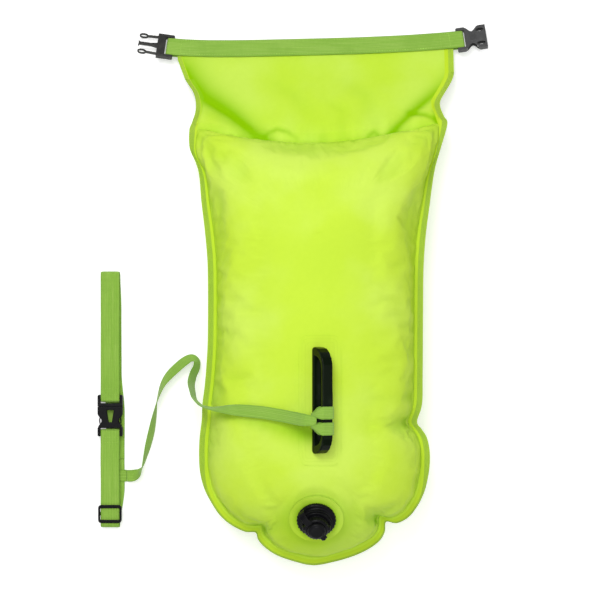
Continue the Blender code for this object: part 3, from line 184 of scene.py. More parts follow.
# lit is the film's colour where light falls and deep the darker green painted where shade falls; pale is a
# random tone
filmLook = {
    "lit": (0.59, 0.825, 0.056), "deep": (0.25, 0.53, 0.001), "pale": (0.635, 0.855, 0.115),
    "surface": (0.45, 0.015), "cloud": (9.0, 3.0), "cloudRamp": (0.35, 0.7), "rough": (0.16, 0.34),
    "mottle": (160.0, 2.0), "mottled": 0.10, "peel": (420.0, 2.0), "weft": 1.1 * mm, "weave": 0.35,
    "bump": (0.14 * mm, 0.6), "weldDepth": -2.5, "lineDepth": -0.5,
}
# line is the colour of a painted highlight along the weld's inner edge; bright is where it starts
rimLook = {
    "band": (0.395, 0.60, 0.058), "dent": (0.235, 0.43, 0.030), "line": (0.515, 0.725, 0.028),
    "surface": (0.55, 0.12), "dots": 2.4 * mm, "dotRamp": (0.15, 0.55), "start": (0.9 * mm, 1.4 * mm),
    "bright": 7.5 * mm, "slim": 6.4 * mm, "width": 12.6 * mm, "stop": 0.6 * mm,
    "lineRamp": (-0.7 * mm, 0.3 * mm), "endRamp": (-0.8 * mm, 0.2 * mm), "cloud": (60.0, 3.0), "clouded": 0.4,
    "rough": (90.0, 3.0), "roughness": 0.25, "bump": (0.5 * mm, 0.9),
}
strapLook = {
    "yarn": (0.275, 0.50, 0.060), "grooveShade": (0.150, 0.33, 0.022), "lift": (0.34, 0.56, 0.09),
    "soft": (0.24, 0.45, 0.05), "surface": (0.78, 0.25, 0.25), "wale": 2.1 * mm, "pick": 1.7 * mm,
    "slant": 0.9, "rib": (0.3, 0.7), "streak": (14.0, 420.0), "streakRamp": (0.35, 0.7),
    "blotch": (22.0, 3.0, 0.6), "blotchRamp": (0.48, 0.66), "blotched": 0.55, "depth": 0.55,
    "edge": (1.6 * mm, 0.8 * mm), "edged": 0.35, "bump": (0.35 * mm, 0.8),
}
plasticLook = {"grain": (900.0, 3.0), "patch": (70.0, 2.0), "patchRamp": (0.5, 0.8), "blotch": (1.7, 0.004),
               "rough": 0.14, "bump": (0.08 * mm, 0.5)}
rubberLook = {"surface": (0.6, 0.4), "grain": (500.0, 2.0), "dark": 0.8, "bump": (0.1 * mm, 0.3)}


def makeFilm(name, border=None, depth=0.0):
    made, tree = newMaterial(name, *filmLook["surface"])
    cloud = clouds(tree, *filmLook["cloud"])
    base = mixColour(tree, ramp(tree, cloud, *filmLook["cloudRamp"]), filmLook["lit"], filmLook["pale"])
    mottle = times(tree, clouds(tree, *filmLook["mottle"]), filmLook["mottled"])
    # painted shade: the shade attribute mixes the film towards deep; the mottle is a random tone
    colour = mixColour(tree, shadeOf(tree), mixColour(tree, mottle, base, filmLook["deep"]), filmLook["deep"])
    axes = addNode(tree, "SeparateXYZ", None, Vector=objectCoords(tree)).outputs[:2]
    yarns = [calc(tree, "SINE", times(tree, axis, 2 * math.pi / filmLook["weft"])) for axis in axes]
    height = timesPlus(tree, times(tree, *yarns), filmLook["weave"], clouds(tree, *filmLook["peel"]))
    if border:
        colour, dent = border(tree, colour)
        height = timesPlus(tree, dent, depth, height)
    feed(tree, Base_Color=colour, Roughness=timesPlus(tree, cloud, *filmLook["rough"]))
    bump(tree, height, *filmLook["bump"])
    return made


def weldedBorder(tree, inside):
    # from the outer edge inwards: the knurled weld, a bright line of painted highlight, then the film
    along, across = laneOf(tree)
    pitch = 2 * math.pi / rimLook["dots"]
    slants = [times(tree, calc(tree, way, along, across), pitch) for way in ("ADD", "SUBTRACT")]
    dots = times(tree, *(calc(tree, "SINE", slant) for slant in slants))
    bright, width = rimLook["bright"], rimLook["width"]
    stop = ramp(tree, across, bright, bright - rimLook["stop"])
    weld = times(tree, ramp(tree, across, *rimLook["start"]), stop)
    # the knurl's dots are pressed in, and painted darker as shade in the dents
    dent = times(tree, ramp(tree, dots, *rimLook["dotRamp"]), weld)
    cloud = times(tree, clouds(tree, *rimLook["cloud"]), rimLook["clouded"])
    base = mixColour(tree, cloud, rimLook["band"], filmLook["lit"])
    dented = mixColour(tree, dent, base, rimLook["dent"])
    # painted highlight: the bright line where the film turns up from the weld
    line = ramp(tree, across, *(bright + off for off in rimLook["lineRamp"]))
    end = ramp(tree, across, *(width + off for off in rimLook["endRamp"]))
    return mixColour(tree, end, mixColour(tree, line, dented, rimLook["line"]), inside), dent


def linedBorder(tree, inside):
    # the patch's embossed border lines
    across = laneOf(tree)[1]
    rings = calc(tree, "SINE", times(tree, across, 2 * math.pi / patchLook["pitch"]))
    lines = times(tree, ramp(tree, rings, *patchLook["lineRamp"]), ramp(tree, across, *patchLook["lineEnd"]))
    return mixColour(tree, times(tree, lines, patchLook["lined"]), inside, filmLook["deep"]), lines


def weldLane(across, slim):
    # where the weld is slim it goes over into plain film, without the painted highlight line
    skip = np.where(across < rimLook["slim"], rimLook["bright"] - rimLook["slim"], rimLook["width"])
    return across + skip * slim


def makeRim():
    made, tree = newMaterial("weldedEdge", *rimLook["surface"])
    # painted shade on the film inside the weld, from the shade attribute
    colour, dent = weldedBorder(tree, mixColour(tree, shadeOf(tree), filmLook["lit"], filmLook["deep"]))
    feed(tree, Base_Color=colour)
    rough = times(tree, clouds(tree, *rimLook["rough"]), rimLook["roughness"])
    bump(tree, timesPlus(tree, dent, -1.0, rough), *rimLook["bump"])
    return made


def makeWebbing(name, halfWidth):
    made, tree = newMaterial(name, *strapLook["surface"])
    along, across = laneOf(tree)
    place = calc(tree, "DIVIDE", across, strapLook["wale"])
    inside = calc(tree, "SUBTRACT", place, calc(tree, "FLOOR", place))
    wale = calc(tree, "SINE", times(tree, inside, math.pi))
    slant = times(tree, calc(tree, "PINGPONG", place, 1.0), strapLook["slant"] * math.pi)
    rib = calc(tree, "SINE", timesPlus(tree, along, 2 * math.pi / strapLook["pick"], slant))
    height = times(tree, timesPlus(tree, rib, *strapLook["rib"]), wale)
    drawn = [times(tree, lane, scale) for lane, scale in zip((along, across), strapLook["streak"])]
    where = addNode(tree, "CombineXYZ", None, X=drawn[0], Y=drawn[1]).outputs[0]
    streak = clouds(tree, 1.0, 2.0, where=where)
    yarn = mixColour(tree, ramp(tree, streak, *strapLook["streakRamp"]), strapLook["yarn"], strapLook["lift"])
    # darker blotches along the webbing
    blotch = ramp(tree, clouds(tree, *strapLook["blotch"]), *strapLook["blotchRamp"])
    yarn = mixColour(tree, times(tree, blotch, strapLook["blotched"]), yarn, strapLook["soft"])
    # painted shade in the weave's grooves; the edges take the same darker colour
    grooveShade = times(tree, calc(tree, "SUBTRACT", 1.0, height), strapLook["depth"])
    colour = mixColour(tree, grooveShade, yarn, strapLook["grooveShade"])
    edge = ramp(tree, calc(tree, "ABSOLUTE", across), *(halfWidth - off for off in strapLook["edge"]))
    feed(tree, Base_Color=mixColour(tree, times(tree, edge, strapLook["edged"]), colour, strapLook["grooveShade"]))
    bump(tree, height, *strapLook["bump"])
    return made


def makePlastic(name, colour, roughness, specular=0.5):
    made, tree = newMaterial(name, roughness, specular)
    patch = clouds(tree, *plasticLook["patch"])
    factor, lift = plasticLook["blotch"]
    blotch = tuple(min(1, factor * c + lift) for c in colour)
    change = plasticLook["rough"]
    feed(tree, Base_Color=mixColour(tree, ramp(tree, patch, *plasticLook["patchRamp"]), colour, blotch),
         Roughness=timesPlus(tree, patch, change, roughness - change / 2))
    bump(tree, clouds(tree, *plasticLook["grain"]), *plasticLook["bump"])
    return made


def makeRubber(name, colour):
    made, tree = newMaterial(name, *rubberLook["surface"])
    grain = clouds(tree, *rubberLook["grain"])
    feed(tree, Base_Color=mixColour(tree, grain, colour, tuple(rubberLook["dark"] * c for c in colour)))
    bump(tree, grain, *rubberLook["bump"])
    return made


# Mesh helpers

@contextmanager
def meshEdit(mesh):
    bm = bmesh.new()
    bm.from_mesh(mesh)
    yield bm
    bm.to_mesh(mesh)
    bm.free()


def dress(mesh, material, smooth=True):
    mesh.materials.clear()
    mesh.materials.append(material)
    if smooth:
        mesh.polygons.foreach_set("use_smooth", [True] * len(mesh.polygons))
    return mesh


def newObject(name, places, faces, material):
    mesh = bpy.data.meshes.new(name)
    mesh.from_pydata([tuple(p) for p in places], [], faces)
    mesh.update()
    return linked(name, dress(mesh, material))


def mark(made, shade=None, lane=None):
    looks = ("shade", "FLOAT", "value", shade), ("lane", "FLOAT_VECTOR", "vector", lane)
    for name, kind, field, values in looks:
        if values is not None:
            data = made.data.attributes.new(name, kind, "POINT").data
            data.foreach_set(field, np.asarray(values, dtype=np.float32).ravel())


def faceOut(made):
    with meshEdit(made.data) as bm:
        bmesh.ops.recalc_face_normals(bm, faces=bm.faces)
    return made


def applied(made):
    bpy.context.view_layer.update()
    mesh = bpy.data.meshes.new_from_object(made.evaluated_get(bpy.context.evaluated_depsgraph_get()))
    made.modifiers.clear()
    made.data = mesh
    return made


def piece(made, slot, body, *nodes):
    if nodes:
        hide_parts(*nodes)
    if body:
        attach(made, body)
    return made


def smoothLine(points, steps, closed=False):
    points = [np.asarray(p, float) for p in points]
    wide = [points[-1], *points, points[0], points[1]] if closed else [points[0], *points, points[-1]]
    line = []
    for a, b, c, d in zip(wide, wide[1:], wide[2:], wide[3:]):
        for step in range(steps):
            t = step / steps
            line.append(0.5 * (2 * b + (c - a) * t + (2 * a - 5 * b + 4 * c - d) * t * t
                               + (3 * b - a - 3 * c + d) * t * t * t))
    return np.array(line if closed else [*line, points[-1]])


def ease(value, over=1.0):
    # rises from 0 to 1 and is level at both ends
    value = np.clip(value / over, 0, 1)
    return value * value * (3 - 2 * value)


def bell(value, width):
    return np.exp(-(value / width) ** 2)


def follow(table, share):
    return np.interp(share, *zip(*table))


def wave(x, y=0.0, z=0.0):
    return noise.noise(Vector((x, y, z)))


waves = np.vectorize(wave, otypes=[float])


def wallFaces(count, ring, closed=False):
    # quads between count closed rings of points
    index = np.arange(count * ring).reshape(count, ring)
    above = np.roll(index, -1, 0)
    quads = np.stack((index, np.roll(index, -1, 1), np.roll(above, -1, 1), above), axis=-1)
    return quads[:count if closed else count - 1].reshape(-1, 4).tolist()


def tube(name, places, lanes, ring, closed, material):
    total = len(places)
    faces = wallFaces(total // ring, ring, closed)
    if not closed:
        faces += [list(range(ring))[::-1], list(range(total - ring, total))]
    made = newObject(name, places, faces, material)
    mark(made, lane=lanes)
    return faceOut(made)


def ribbon(name, frames, width, thickness, material, closed=False, across=10):
    places, lanes = [], []
    along = 0.0
    shares = [math.sin(math.pi / 2 * (2 * j / across - 1)) * 0.5 for j in range(across + 1)]
    for k, (middle, side, face) in enumerate(frames):
        if k:
            along += float(np.linalg.norm(middle - frames[k - 1][0]))
        for way in (1, -1):
            for share in shares[::way]:
                thin = 1 - (2 * abs(share)) ** 8 * 0.75
                places.append(middle + side * width * share + face * (way * thickness / 2 * thin))
                lanes.append((along, width * share, way))
    return tube(name, places, lanes, 2 * (across + 1), closed, material)


def loopPath(half, radius, bends, runs):
    # once round a flat loop, from its right bend over the top: place and outward direction
    path = []
    for side in (1, -1):
        for k in range(bends + 1):
            turn = math.radians(180 * k / bends - 90 * side)
            out, up = math.cos(turn), math.sin(turn)
            path.append((side * half + radius * out, radius * up, out, up))
        path += [(side * (half - 2 * half * k / runs), side * radius, 0, side) for k in range(1, runs)]
    return path


def cadMesh(node):
    source = frame["nodes"][node]
    bpy.context.view_layer.update()
    mesh = source.data.copy()
    mesh.transform(source.matrix_world)
    return mesh


moulding = {"handle": (0.8 * mm, 6), "buckle": (0.34 * mm, 3), "valve": (0.42 * mm, 4), "softness": 0.5}


def moulded(name, kind, node, body, material, extras=(), slot="black_plastic"):
    # the CAD solid with its finer ribs and lips, melted together and softly rounded
    voxel, turns = moulding[kind]
    mesh = cadMesh(node)
    with meshEdit(mesh) as bm:
        for extra in extras:
            bm.from_mesh(extra)
    made = linked(name, mesh)
    melt = made.modifiers.new("melt", "REMESH")
    melt.mode = "VOXEL"
    melt.voxel_size = voxel * 1
    soften = made.modifiers.new("soften", "SMOOTH")
    soften.factor = moulding["softness"]
    soften.iterations = turns
    dress(applied(made).data, material)
    return piece(made, slot, body, node)


def blockMesh(low, high, matrix, edge=0.0):
    mesh = bpy.data.meshes.new("detail")
    middle, size = (Vector(high) + Vector(low)) / 2, Vector(high) - Vector(low)
    with meshEdit(mesh) as bm:
        bmesh.ops.create_cube(bm, size=1, matrix=Matrix.Translation(middle) @ Matrix.Diagonal((*size, 1)))
        if edge:
            bmesh.ops.bevel(bm, geom=bm.edges[:], offset=edge, segments=2, affect="EDGES", profile=0.5)
        bmesh.ops.transform(bm, matrix=matrix, verts=bm.verts)
    return mesh


# Shared sizes, as in the part's source

bag = {
    "halfWidth": 138.5 * mm, "length": 566 * mm, "top": 222 * mm, "seam": 77 * mm,
    "rise": 88 * mm, "press": 22 * mm, "round": 10 * mm, "rim": 11 * mm, "gap": 0.3 * mm,
    "spineTop": 75 * mm, "spineLow": -200 * mm, "easing": 30, "rimThickness": 2.2 * mm,
}
neck = {
    "height": 7.8 * mm, "cornerHeight": 54.4 * mm, "above": 2.6 * mm, "turn": math.radians(1.4),
    "half": 182.5 * mm, "hem": 25 * mm, "flap": 30 * mm, "length": 75 * mm, "dip": 22 * mm, "dipPower": 1.7,
}
fold = neck["hem"] + neck["flap"]
corner = fold + neck["length"]
neck["slope"] = math.asin((neck["cornerHeight"] - neck["height"]) / corner)
neck["along"] = bag["top"] + neck["above"] + corner * math.cos(neck["slope"])
hemBend = {"bar": 194.3 * mm, "rise": 6.2 * mm, "left": 4.6, "right": 2.6, "horn": 6.5 * mm}
valveSeat = {"x": 0.4 * mm, "along": -272 * mm, "tilt": math.radians(27), "lift": 3.0 * mm,
             "flat": 38 * mm, "blend": 72 * mm, "hole": 25 * mm}
rightSide = (
    (1.175, 0.044), (1.126, 0.083), (1.097, 0.118), (1.065, 0.173), (1.025, 0.247),
    (1.004, 0.320), (1.0, 0.400), (0.998, 0.480), (0.996, 0.560), (0.990, 0.629),
    (0.944, 0.668), (0.985, 0.685), (1.032, 0.703), (1.058, 0.728), (1.065, 0.757),
    (1.052, 0.790), (1.018, 0.827), (0.955, 0.861), (0.870, 0.888), (0.760, 0.902),
)
foot = (
    (0.660, 0.899), (0.648, 0.922), (0.600, 0.943), (0.500, 0.962), (0.350, 0.979),
    (0.170, 0.992), (-0.020, 1.0), (-0.200, 0.991), (-0.360, 0.977), (-0.470, 0.959),
    (-0.535, 0.941),
)
leftSide = (
    (-0.561, 0.924), (-0.660, 0.922), (-0.790, 0.906), (-0.888, 0.885), (-0.965, 0.857),
    (-1.035, 0.823), (-1.075, 0.785), (-1.084, 0.745), (-1.078, 0.705), (-1.058, 0.665),
    (-1.052, 0.629), (-1.027, 0.580), (-1.004, 0.500), (-1.0, 0.430), (-1.0, 0.360),
    (-1.006, 0.300), (-1.030, 0.235), (-1.065, 0.165), (-1.085, 0.110), (-1.120, 0.078),
    (-1.178, 0.044),
)
seamShares = ((0.0, 0.70), (0.044, 0.76), (0.118, 0.87), (0.21, 0.95), (0.32, 0.99), (0.5, 1.0),
              (0.67, 0.99), (0.75, 0.96), (0.85, 0.90), (0.92, 0.84), (1.0, 0.78))
neckRight = ((0.0, 0.995), (0.09, 0.986), (0.24, 0.956), (0.39, 0.919), (0.55, 0.884),
             (0.69, 0.884), (0.85, 0.905), (1.0, 0.925))
neckLeft = ((0.0, 0.945), (0.09, 0.925), (0.24, 0.890), (0.39, 0.872), (0.55, 0.868),
            (0.69, 0.876), (0.85, 0.896), (1.0, 0.915))
notchPlaces = ((0.944, 0.668, 1.0), (0.660, 0.899, 0.8), (-0.561, 0.924, 0.8),
               (0.990, 0.610, 0.5), (-1.052, 0.640, 0.4))

neckMatrix = (Matrix.Translation((0, neck["along"], neck["height"]))
              @ Matrix.Rotation(neck["turn"], 4, "Z") @ Matrix.Rotation(-neck["slope"], 4, "X"))
neckTurn = neckMatrix.to_3x3()


def neckPlace(x, down, out=0.0):
    return np.array(neckMatrix @ Vector((x, -down, out)))


def seamLine(x):
    reach = neck["half"] * np.where(x > 0, neckRight[-1][1], neckLeft[-1][1]) - bag["rim"]
    return corner + neck["dip"] * (1 - np.minimum(1, np.abs(x) / reach) ** neck["dipPower"])


def bodyPoint(out, down):
    return np.array((bag["halfWidth"] * out, bag["top"] - bag["length"] * down,
                     bag["seam"] * follow(seamShares, down)))


def spineNear(p):
    return np.array((0.0, min(bag["spineTop"], max(bag["spineLow"], p[1])), 0.0))


def inward(p, distance):
    way = spineNear(p) - np.array((p[0], p[1], 0.0))
    return p + way / np.linalg.norm(way) * distance


def neckSide(table, sign, inset):
    gap = bag["gap"]
    return [neckPlace(sign * (neck["half"] * out - inset), fold + gap + (neck["length"] - gap) * way)
            for way, out in table]


bodyOuter = [bodyPoint(out, down) for out, down in rightSide + foot + leftSide]
rimOuter = neckSide(neckRight, 1, 0) + bodyOuter + neckSide(neckLeft, -1, 0)[::-1]
bodyInner = [inward(p, bag["rim"]) for p in bodyOuter]
rightInner, leftInner = neckSide(neckRight, 1, bag["rim"]), neckSide(neckLeft, -1, bag["rim"])
rimInner = rightInner + bodyInner + leftInner[::-1]
seamFrom, seamTo = ((neckMatrix.inverted() @ Vector(side[-1])).x for side in (leftInner, rightInner))
seamPoints = [seamFrom + (seamTo - seamFrom) * step / 12 for step in range(1, 12)]
coarseRing = [leftInner[-1], *(neckPlace(x, seamLine(x)) for x in seamPoints), rightInner[-1], *bodyInner]
easedRing = np.array(coarseRing)
for turn in range(bag["easing"]):
    easedRing = (np.roll(easedRing, 1, 0) + 2 * easedRing + np.roll(easedRing, -1, 0)) / 4


# Chamber: rings from the weld to the crown, with the puckers that a welded seam draws in

chamber = {
    "around": 9, "rings": 44, "top": math.radians(86.5),
    "evenTurns": 14, "pucker": 1.5 * mm, "pleat": 2.6 * mm, "crease": 5.0 * mm,
    "swell": 0.8 * mm, "wall": 0.6 * mm, "lowest": 0.2 * mm, "slant": 42 * mm, "straight": 0.85, "fill": 0.95,
}
blown = {
    "frames": 18, "limit": 5 * mm, "seen": 0.25,
    "cloth": {"quality": 5, "mass": 0.12, "tension_stiffness": 18, "compression_stiffness": 6,
              "shear_stiffness": 5, "bending_stiffness": 0.12, "air_damping": 3, "use_pressure": True,
              "uniform_pressure_force": 1.2, "shrink_min": -0.022, "vertex_group_mass": "welded"},
}
leashShadow = {"shift": (17 * mm, 1.1 * mm), "width": (15 * mm, 1 * mm), "strength": (0.80, 0.07)}
ringFine = smoothLine(coarseRing, chamber["around"], True)
easedFine = smoothLine(easedRing, chamber["around"], True)
ringAlong = np.concatenate(([0.0], np.cumsum(np.linalg.norm(np.diff(ringFine, axis=0), axis=1))))
seatPlace = Vector(joints["valve_turn"]["pos_m"]) - Vector(joints["valve_turn"]["axis"]) * valveSeat["lift"]


def ringSurface(height):
    rings = chamber["rings"]
    angles = (chamber["top"] * np.arange(rings + 1) / rings)[:, None]
    late = (1 - np.cos(angles))[:, :, None]
    middles = np.array([spineNear(p)[:2] for p in ringFine])
    starts = np.array([inward(p, bag["gap"])[:2] for p in ringFine])
    level = middles + (starts + (easedFine[:, :2] - starts) * late - middles) * np.cos(angles)[:, :, None]
    x, y = level[:, :, 0], level[:, :, 1]
    return np.stack((x, y, height(x, y, ringFine[:, 2], np.sin(angles))), axis=2)


def fromValve(x, y, flatten=1.0):
    return np.hypot(x - valveSeat["x"], (y - valveSeat["along"]) / flatten)


def frontHeight(x, y, seam, rise):
    high = seam + bag["gap"] + (bag["seam"] - seam) * rise * rise + bag["rise"] * rise
    hold = 1 - ease(fromValve(x, y) - valveSeat["flat"], valveSeat["blend"] - valveSeat["flat"])
    flat = seatPlace.z + (y - seatPlace.y) * math.tan(valveSeat["tilt"])
    return high - np.maximum(0, high - flat) * hold


def backHeight(x, y, seam, rise):
    high = seam - bag["gap"] - (seam + bag["press"]) * rise
    turn = bag["round"]
    return np.where(high >= turn, high, np.maximum(high + turn, 0) ** 2 / (4 * turn))


def gridNormals(rows):
    normal = np.cross(np.gradient(rows, axis=0), np.roll(rows, -1, 1) - np.roll(rows, 1, 1))
    return normal / np.maximum(np.linalg.norm(normal, axis=2, keepdims=True), 1e-9)


def fromWeld(rows):
    steps = np.linalg.norm(np.diff(rows, axis=0), axis=2)
    return np.concatenate((np.zeros((1, rows.shape[1])), np.cumsum(steps, axis=0)))


def puckers(rows, distance, seed):
    x, y = rows[:, :, 0], rows[:, :, 1]
    lively = 0.32 + 0.9 * ease(-0.12 - y[0], 0.14) + 1.1 * ease(y[0] - 0.13, 0.06)
    short = waves(ringAlong / (13 * mm), seed, distance / (60 * mm)) * np.exp(-distance / (20 * mm))
    long = np.abs(waves(ringAlong / (30 * mm), seed + 7, distance / (140 * mm))) * 2 - 0.5
    long *= np.exp(-distance / (52 * mm))
    shift = lively * (chamber["pucker"] * short - 0.5 * chamber["pleat"] * long)
    shift += chamber["swell"] * waves(x / (75 * mm), y / (95 * mm), seed + 3)
    for out, down, size in notchPlaces:
        # a crease runs from the notch towards the middle of the bag
        notch = bodyPoint(out, down)
        wayX, wayY = -notch[0], (spineNear(notch)[1] - notch[1]) / 2
        wayX, wayY = np.array((wayX, wayY)) / math.hypot(wayX, wayY)
        dx, dy = x - notch[0], y - notch[1]
        ahead, aside = dx * wayX + dy * wayY, dx * wayY - dy * wayX
        near = (dx * dx + dy * dy <= 0.012) & (ahead >= -0.01)
        ahead = np.maximum(ahead, 0)
        wide = 5 * mm + 0.14 * ahead
        shift -= near * size * chamber["crease"] * np.exp(-ahead / (38 * mm)) * bell(aside, wide)
    return shift * (1 - np.exp(-distance / (4 * mm)))


def shell(name, rows, material, shade, node, hole=0.0):
    # the front has the valve's hole, and its crown faces up
    rings, count = rows.shape[:2]
    faces = wallFaces(rings, count) + [list(range((rings - 1) * count, rings * count))]
    made = newObject(name, rows.reshape(-1, 3), faces, material)
    mark(made, shade)
    with meshEdit(made.data) as bm:
        bmesh.ops.recalc_face_normals(bm, faces=bm.faces)
        crown = max(bm.faces, key=lambda face: len(face.verts))
        if (crown.normal.z > 0) != bool(hole):
            bmesh.ops.reverse_faces(bm, faces=bm.faces)
        bmesh.ops.triangulate(bm, faces=[crown])
        gone = [face for face in bm.faces if (face.calc_center_median() - seatPlace).length < hole]
        bmesh.ops.delete(bm, geom=gone, context="FACES")
    wall = made.modifiers.new("wall", "SOLIDIFY")
    wall.thickness = chamber["wall"]
    wall.offset = -1
    piece(applied(made), "lime_film", "bag", node)


def leashShade(places):
    # painted shadow that the leash casts on the film below it, in a greener shade
    under = np.array([(x, y) for x, y, z, roll in leashRoute[1:11]]) * mm
    shade = np.zeros(places.shape[:-1])
    for k, ((ax, ay), (bx, by)) in enumerate(zip(under, under[1:])):
        shift, width, strength = (start - less * k for start, less in leashShadow.values())
        dx, dy = bx - ax, by - ay
        px, py = places[..., 0] - ax, places[..., 1] + shift - ay
        t = np.clip((px * dx + py * dy) / (dx * dx + dy * dy), 0, 1)
        shade = np.maximum(shade, strength * bell(np.hypot(px - dx * t, py - dy * t), width))
    return shade


def filmShade(places, slope):
    # painted shade: more where the film stands steep, in a ring round the valve, towards the foot and under
    # the leash; slope is 0 where the film lies level and 1 where it stands upright
    valveShadeRing = bell(fromValve(places[..., 0], places[..., 1], 0.9) - 38 * mm, 7 * mm)
    low = ease(-0.235 - places[..., 1], 0.05)
    return 0.20 * valveShadeRing + 0.17 * np.clip(slope, 0, 1) ** 1.2 + 0.22 * low + leashShade(places)


def inflate(rows, limit, hold):
    # cloth with its border welded down, blown up a little and cut with some fabric to spare
    faces = [(a, d, c, b) for a, b, c, d in wallFaces(*rows.shape[:2])]
    made = newObject("chamberCloth", rows.reshape(-1, 3), faces, filmMaterial)
    welded = made.vertex_groups.new(name="welded")
    held = np.clip(hold, 0, 1).reshape(-1)
    for index, weight in enumerate(held):
        welded.add([index], float(weight), "REPLACE")
    cloth = made.modifiers.new("cloth", "CLOTH")
    for key, value in blown["cloth"].items():
        setattr(cloth.settings, key, value)
    cloth.settings.effector_weights.gravity = 0
    cloth.collision_settings.use_collision = False
    scene = bpy.context.scene
    for number in range(1, blown["frames"] + 1):
        scene.frame_set(number)
    moved = made.evaluated_get(bpy.context.evaluated_depsgraph_get()).data
    places = np.empty(len(moved.vertices) * 3)
    moved.vertices.foreach_get("co", places)
    scene.frame_set(1)
    bpy.data.objects.remove(made, do_unlink=True)
    shift = places.reshape(-1, 3) - rows.reshape(-1, 3)
    size = np.linalg.norm(shift, axis=1, keepdims=True)
    most = limit.reshape(-1, 1)
    shift *= most / np.maximum(size, most) * (1 - held[:, None])
    print(f"chamberCloth moved by {size.max() / mm:.1f} mm, {size.mean() / mm:.1f} mm on average")
    shift = shift.reshape(rows.shape)
    return shift, np.sum(shift * gridNormals(rows), axis=2)


def relax(rows, free, turns):
    # evens out the hips of the crown while what is held stays in place
    for turn in range(turns):
        up = rows.copy()
        up[1:-1] = (rows[:-2] + rows[2:]) / 2
        across = (np.roll(rows, 1, 1) + np.roll(rows, -1, 1)) / 2
        rows = rows + ((across + up) / 2 - rows) * free[:, :, None]
    return rows


def slacken(rows, calm):
    # the film leaves the weld at a slant, not upright: nearly straight over its first stretch
    distance = fromWeld(rows)
    reach = chamber["slant"]
    made = rows.copy()
    for k in range(rows.shape[1]):
        share = np.clip(distance[:, k] / reach, 0, 1)
        far = np.array([np.interp(reach, distance[:, k], rows[:, k, axis]) for axis in range(3)])
        line = rows[0, k] + (far - rows[0, k]) * share[:, None]
        amount = chamber["straight"] * (1 - ease(share - 0.35, 0.65)) * calm[:, k]
        made[:, k] = rows[:, k] + (line - rows[:, k]) * amount[:, None]
    return made


def gatherShade(rows, distance):
    # painted shade of fine gathers along the weld at the roll top, too short to be folds
    gathers = np.maximum(0.0, waves(ringAlong / (6.5 * mm), 21.0, 0.0))
    return 0.75 * ease(rows[0, :, 1] - 0.17, 0.03) * gathers * bell(distance - 7 * mm, 9 * mm)


def makeChamber(film):
    rows = ringSurface(frontHeight)
    rings = chamber["rings"]
    steps = np.arange(rings + 1)[:, None] / rings
    free = ease(rows[:, :, 1] - 0.02, 0.10) * ease(steps, 0.12) * (steps < 0.97)
    rows = relax(rows, 0.9 * free, chamber["evenTurns"])
    patch = np.maximum(np.abs(rows[:, :, 0] - patchLook["x"]) - patchLook["half"],
                       np.abs(rows[:, :, 1] - patchLook["along"]) - patchLook["length"])
    calm = ease(fromValve(rows[:, :, 0], rows[:, :, 1]) - 35 * mm, 22 * mm) * ease(patch - 1 * mm, 20 * mm)
    rows = slacken(rows, calm)
    distance = fromWeld(rows)
    shift = puckers(rows, distance, 3.1) * calm
    rows = rows + gridNormals(rows) * shift[:, :, None]
    hold = np.maximum(np.maximum(1 - calm, ease(steps - 0.62, 0.2)), steps * rings < 2)
    most = blown["limit"] * (0.30 + 0.70 * ease(distance, 45 * mm))
    moved, out = inflate(rows, most, hold)
    rows = rows + moved
    shift = shift + blown["seen"] * out
    # painted shade in the dents of the puckers and the cloth
    low = np.clip(-shift / (3 * mm), -0.4, 1)
    # painted shade along the weld: a thin dark line and a broad gradient
    border = 0.17 * bell(distance - 7.5 * mm, 2.6 * mm) + 0.13 * np.exp(-distance / (26 * mm))
    shade = filmShade(rows, 1 - gridNormals(rows)[:, :, 2]) + 0.30 * low + border + gatherShade(rows, distance)
    # no painted shade within the first few mm of the weld, so the film carries on the weld's painted
    # highlight line
    shade *= 1 - bell(distance, 4 * mm)
    shell("chamberFront", rows, film, shade, "front_panel", valveSeat["hole"])
    rows = ringSurface(backHeight)
    distance = fromWeld(rows)
    shift = 0.8 * puckers(rows, distance, 11.7) * ease(rows[:, :, 2], 16 * mm)
    rows = rows - gridNormals(rows) * shift[:, :, None]
    rows[:, :, 2] = np.maximum(rows[:, :, 2], chamber["lowest"])
    # painted shade on the chamber's back, darker towards the weld
    shell("chamberBack", rows, film, 0.10 + 0.10 * np.exp(-distance / (14 * mm)), "back_panel")
    frame["nodes"]["middle_panel"].data.materials[0] = film


# Welded edge

rimShape = {"steps": 6, "flutter": 1.1 * mm, "tremble": 0.5 * mm, "overlap": 1.2 * mm, "across": 12,
            "slimFrom": 231 * mm, "curl": 4.7 * mm, "curlFrom": -205 * mm, "curlOver": 60 * mm, "shade": 0.1}


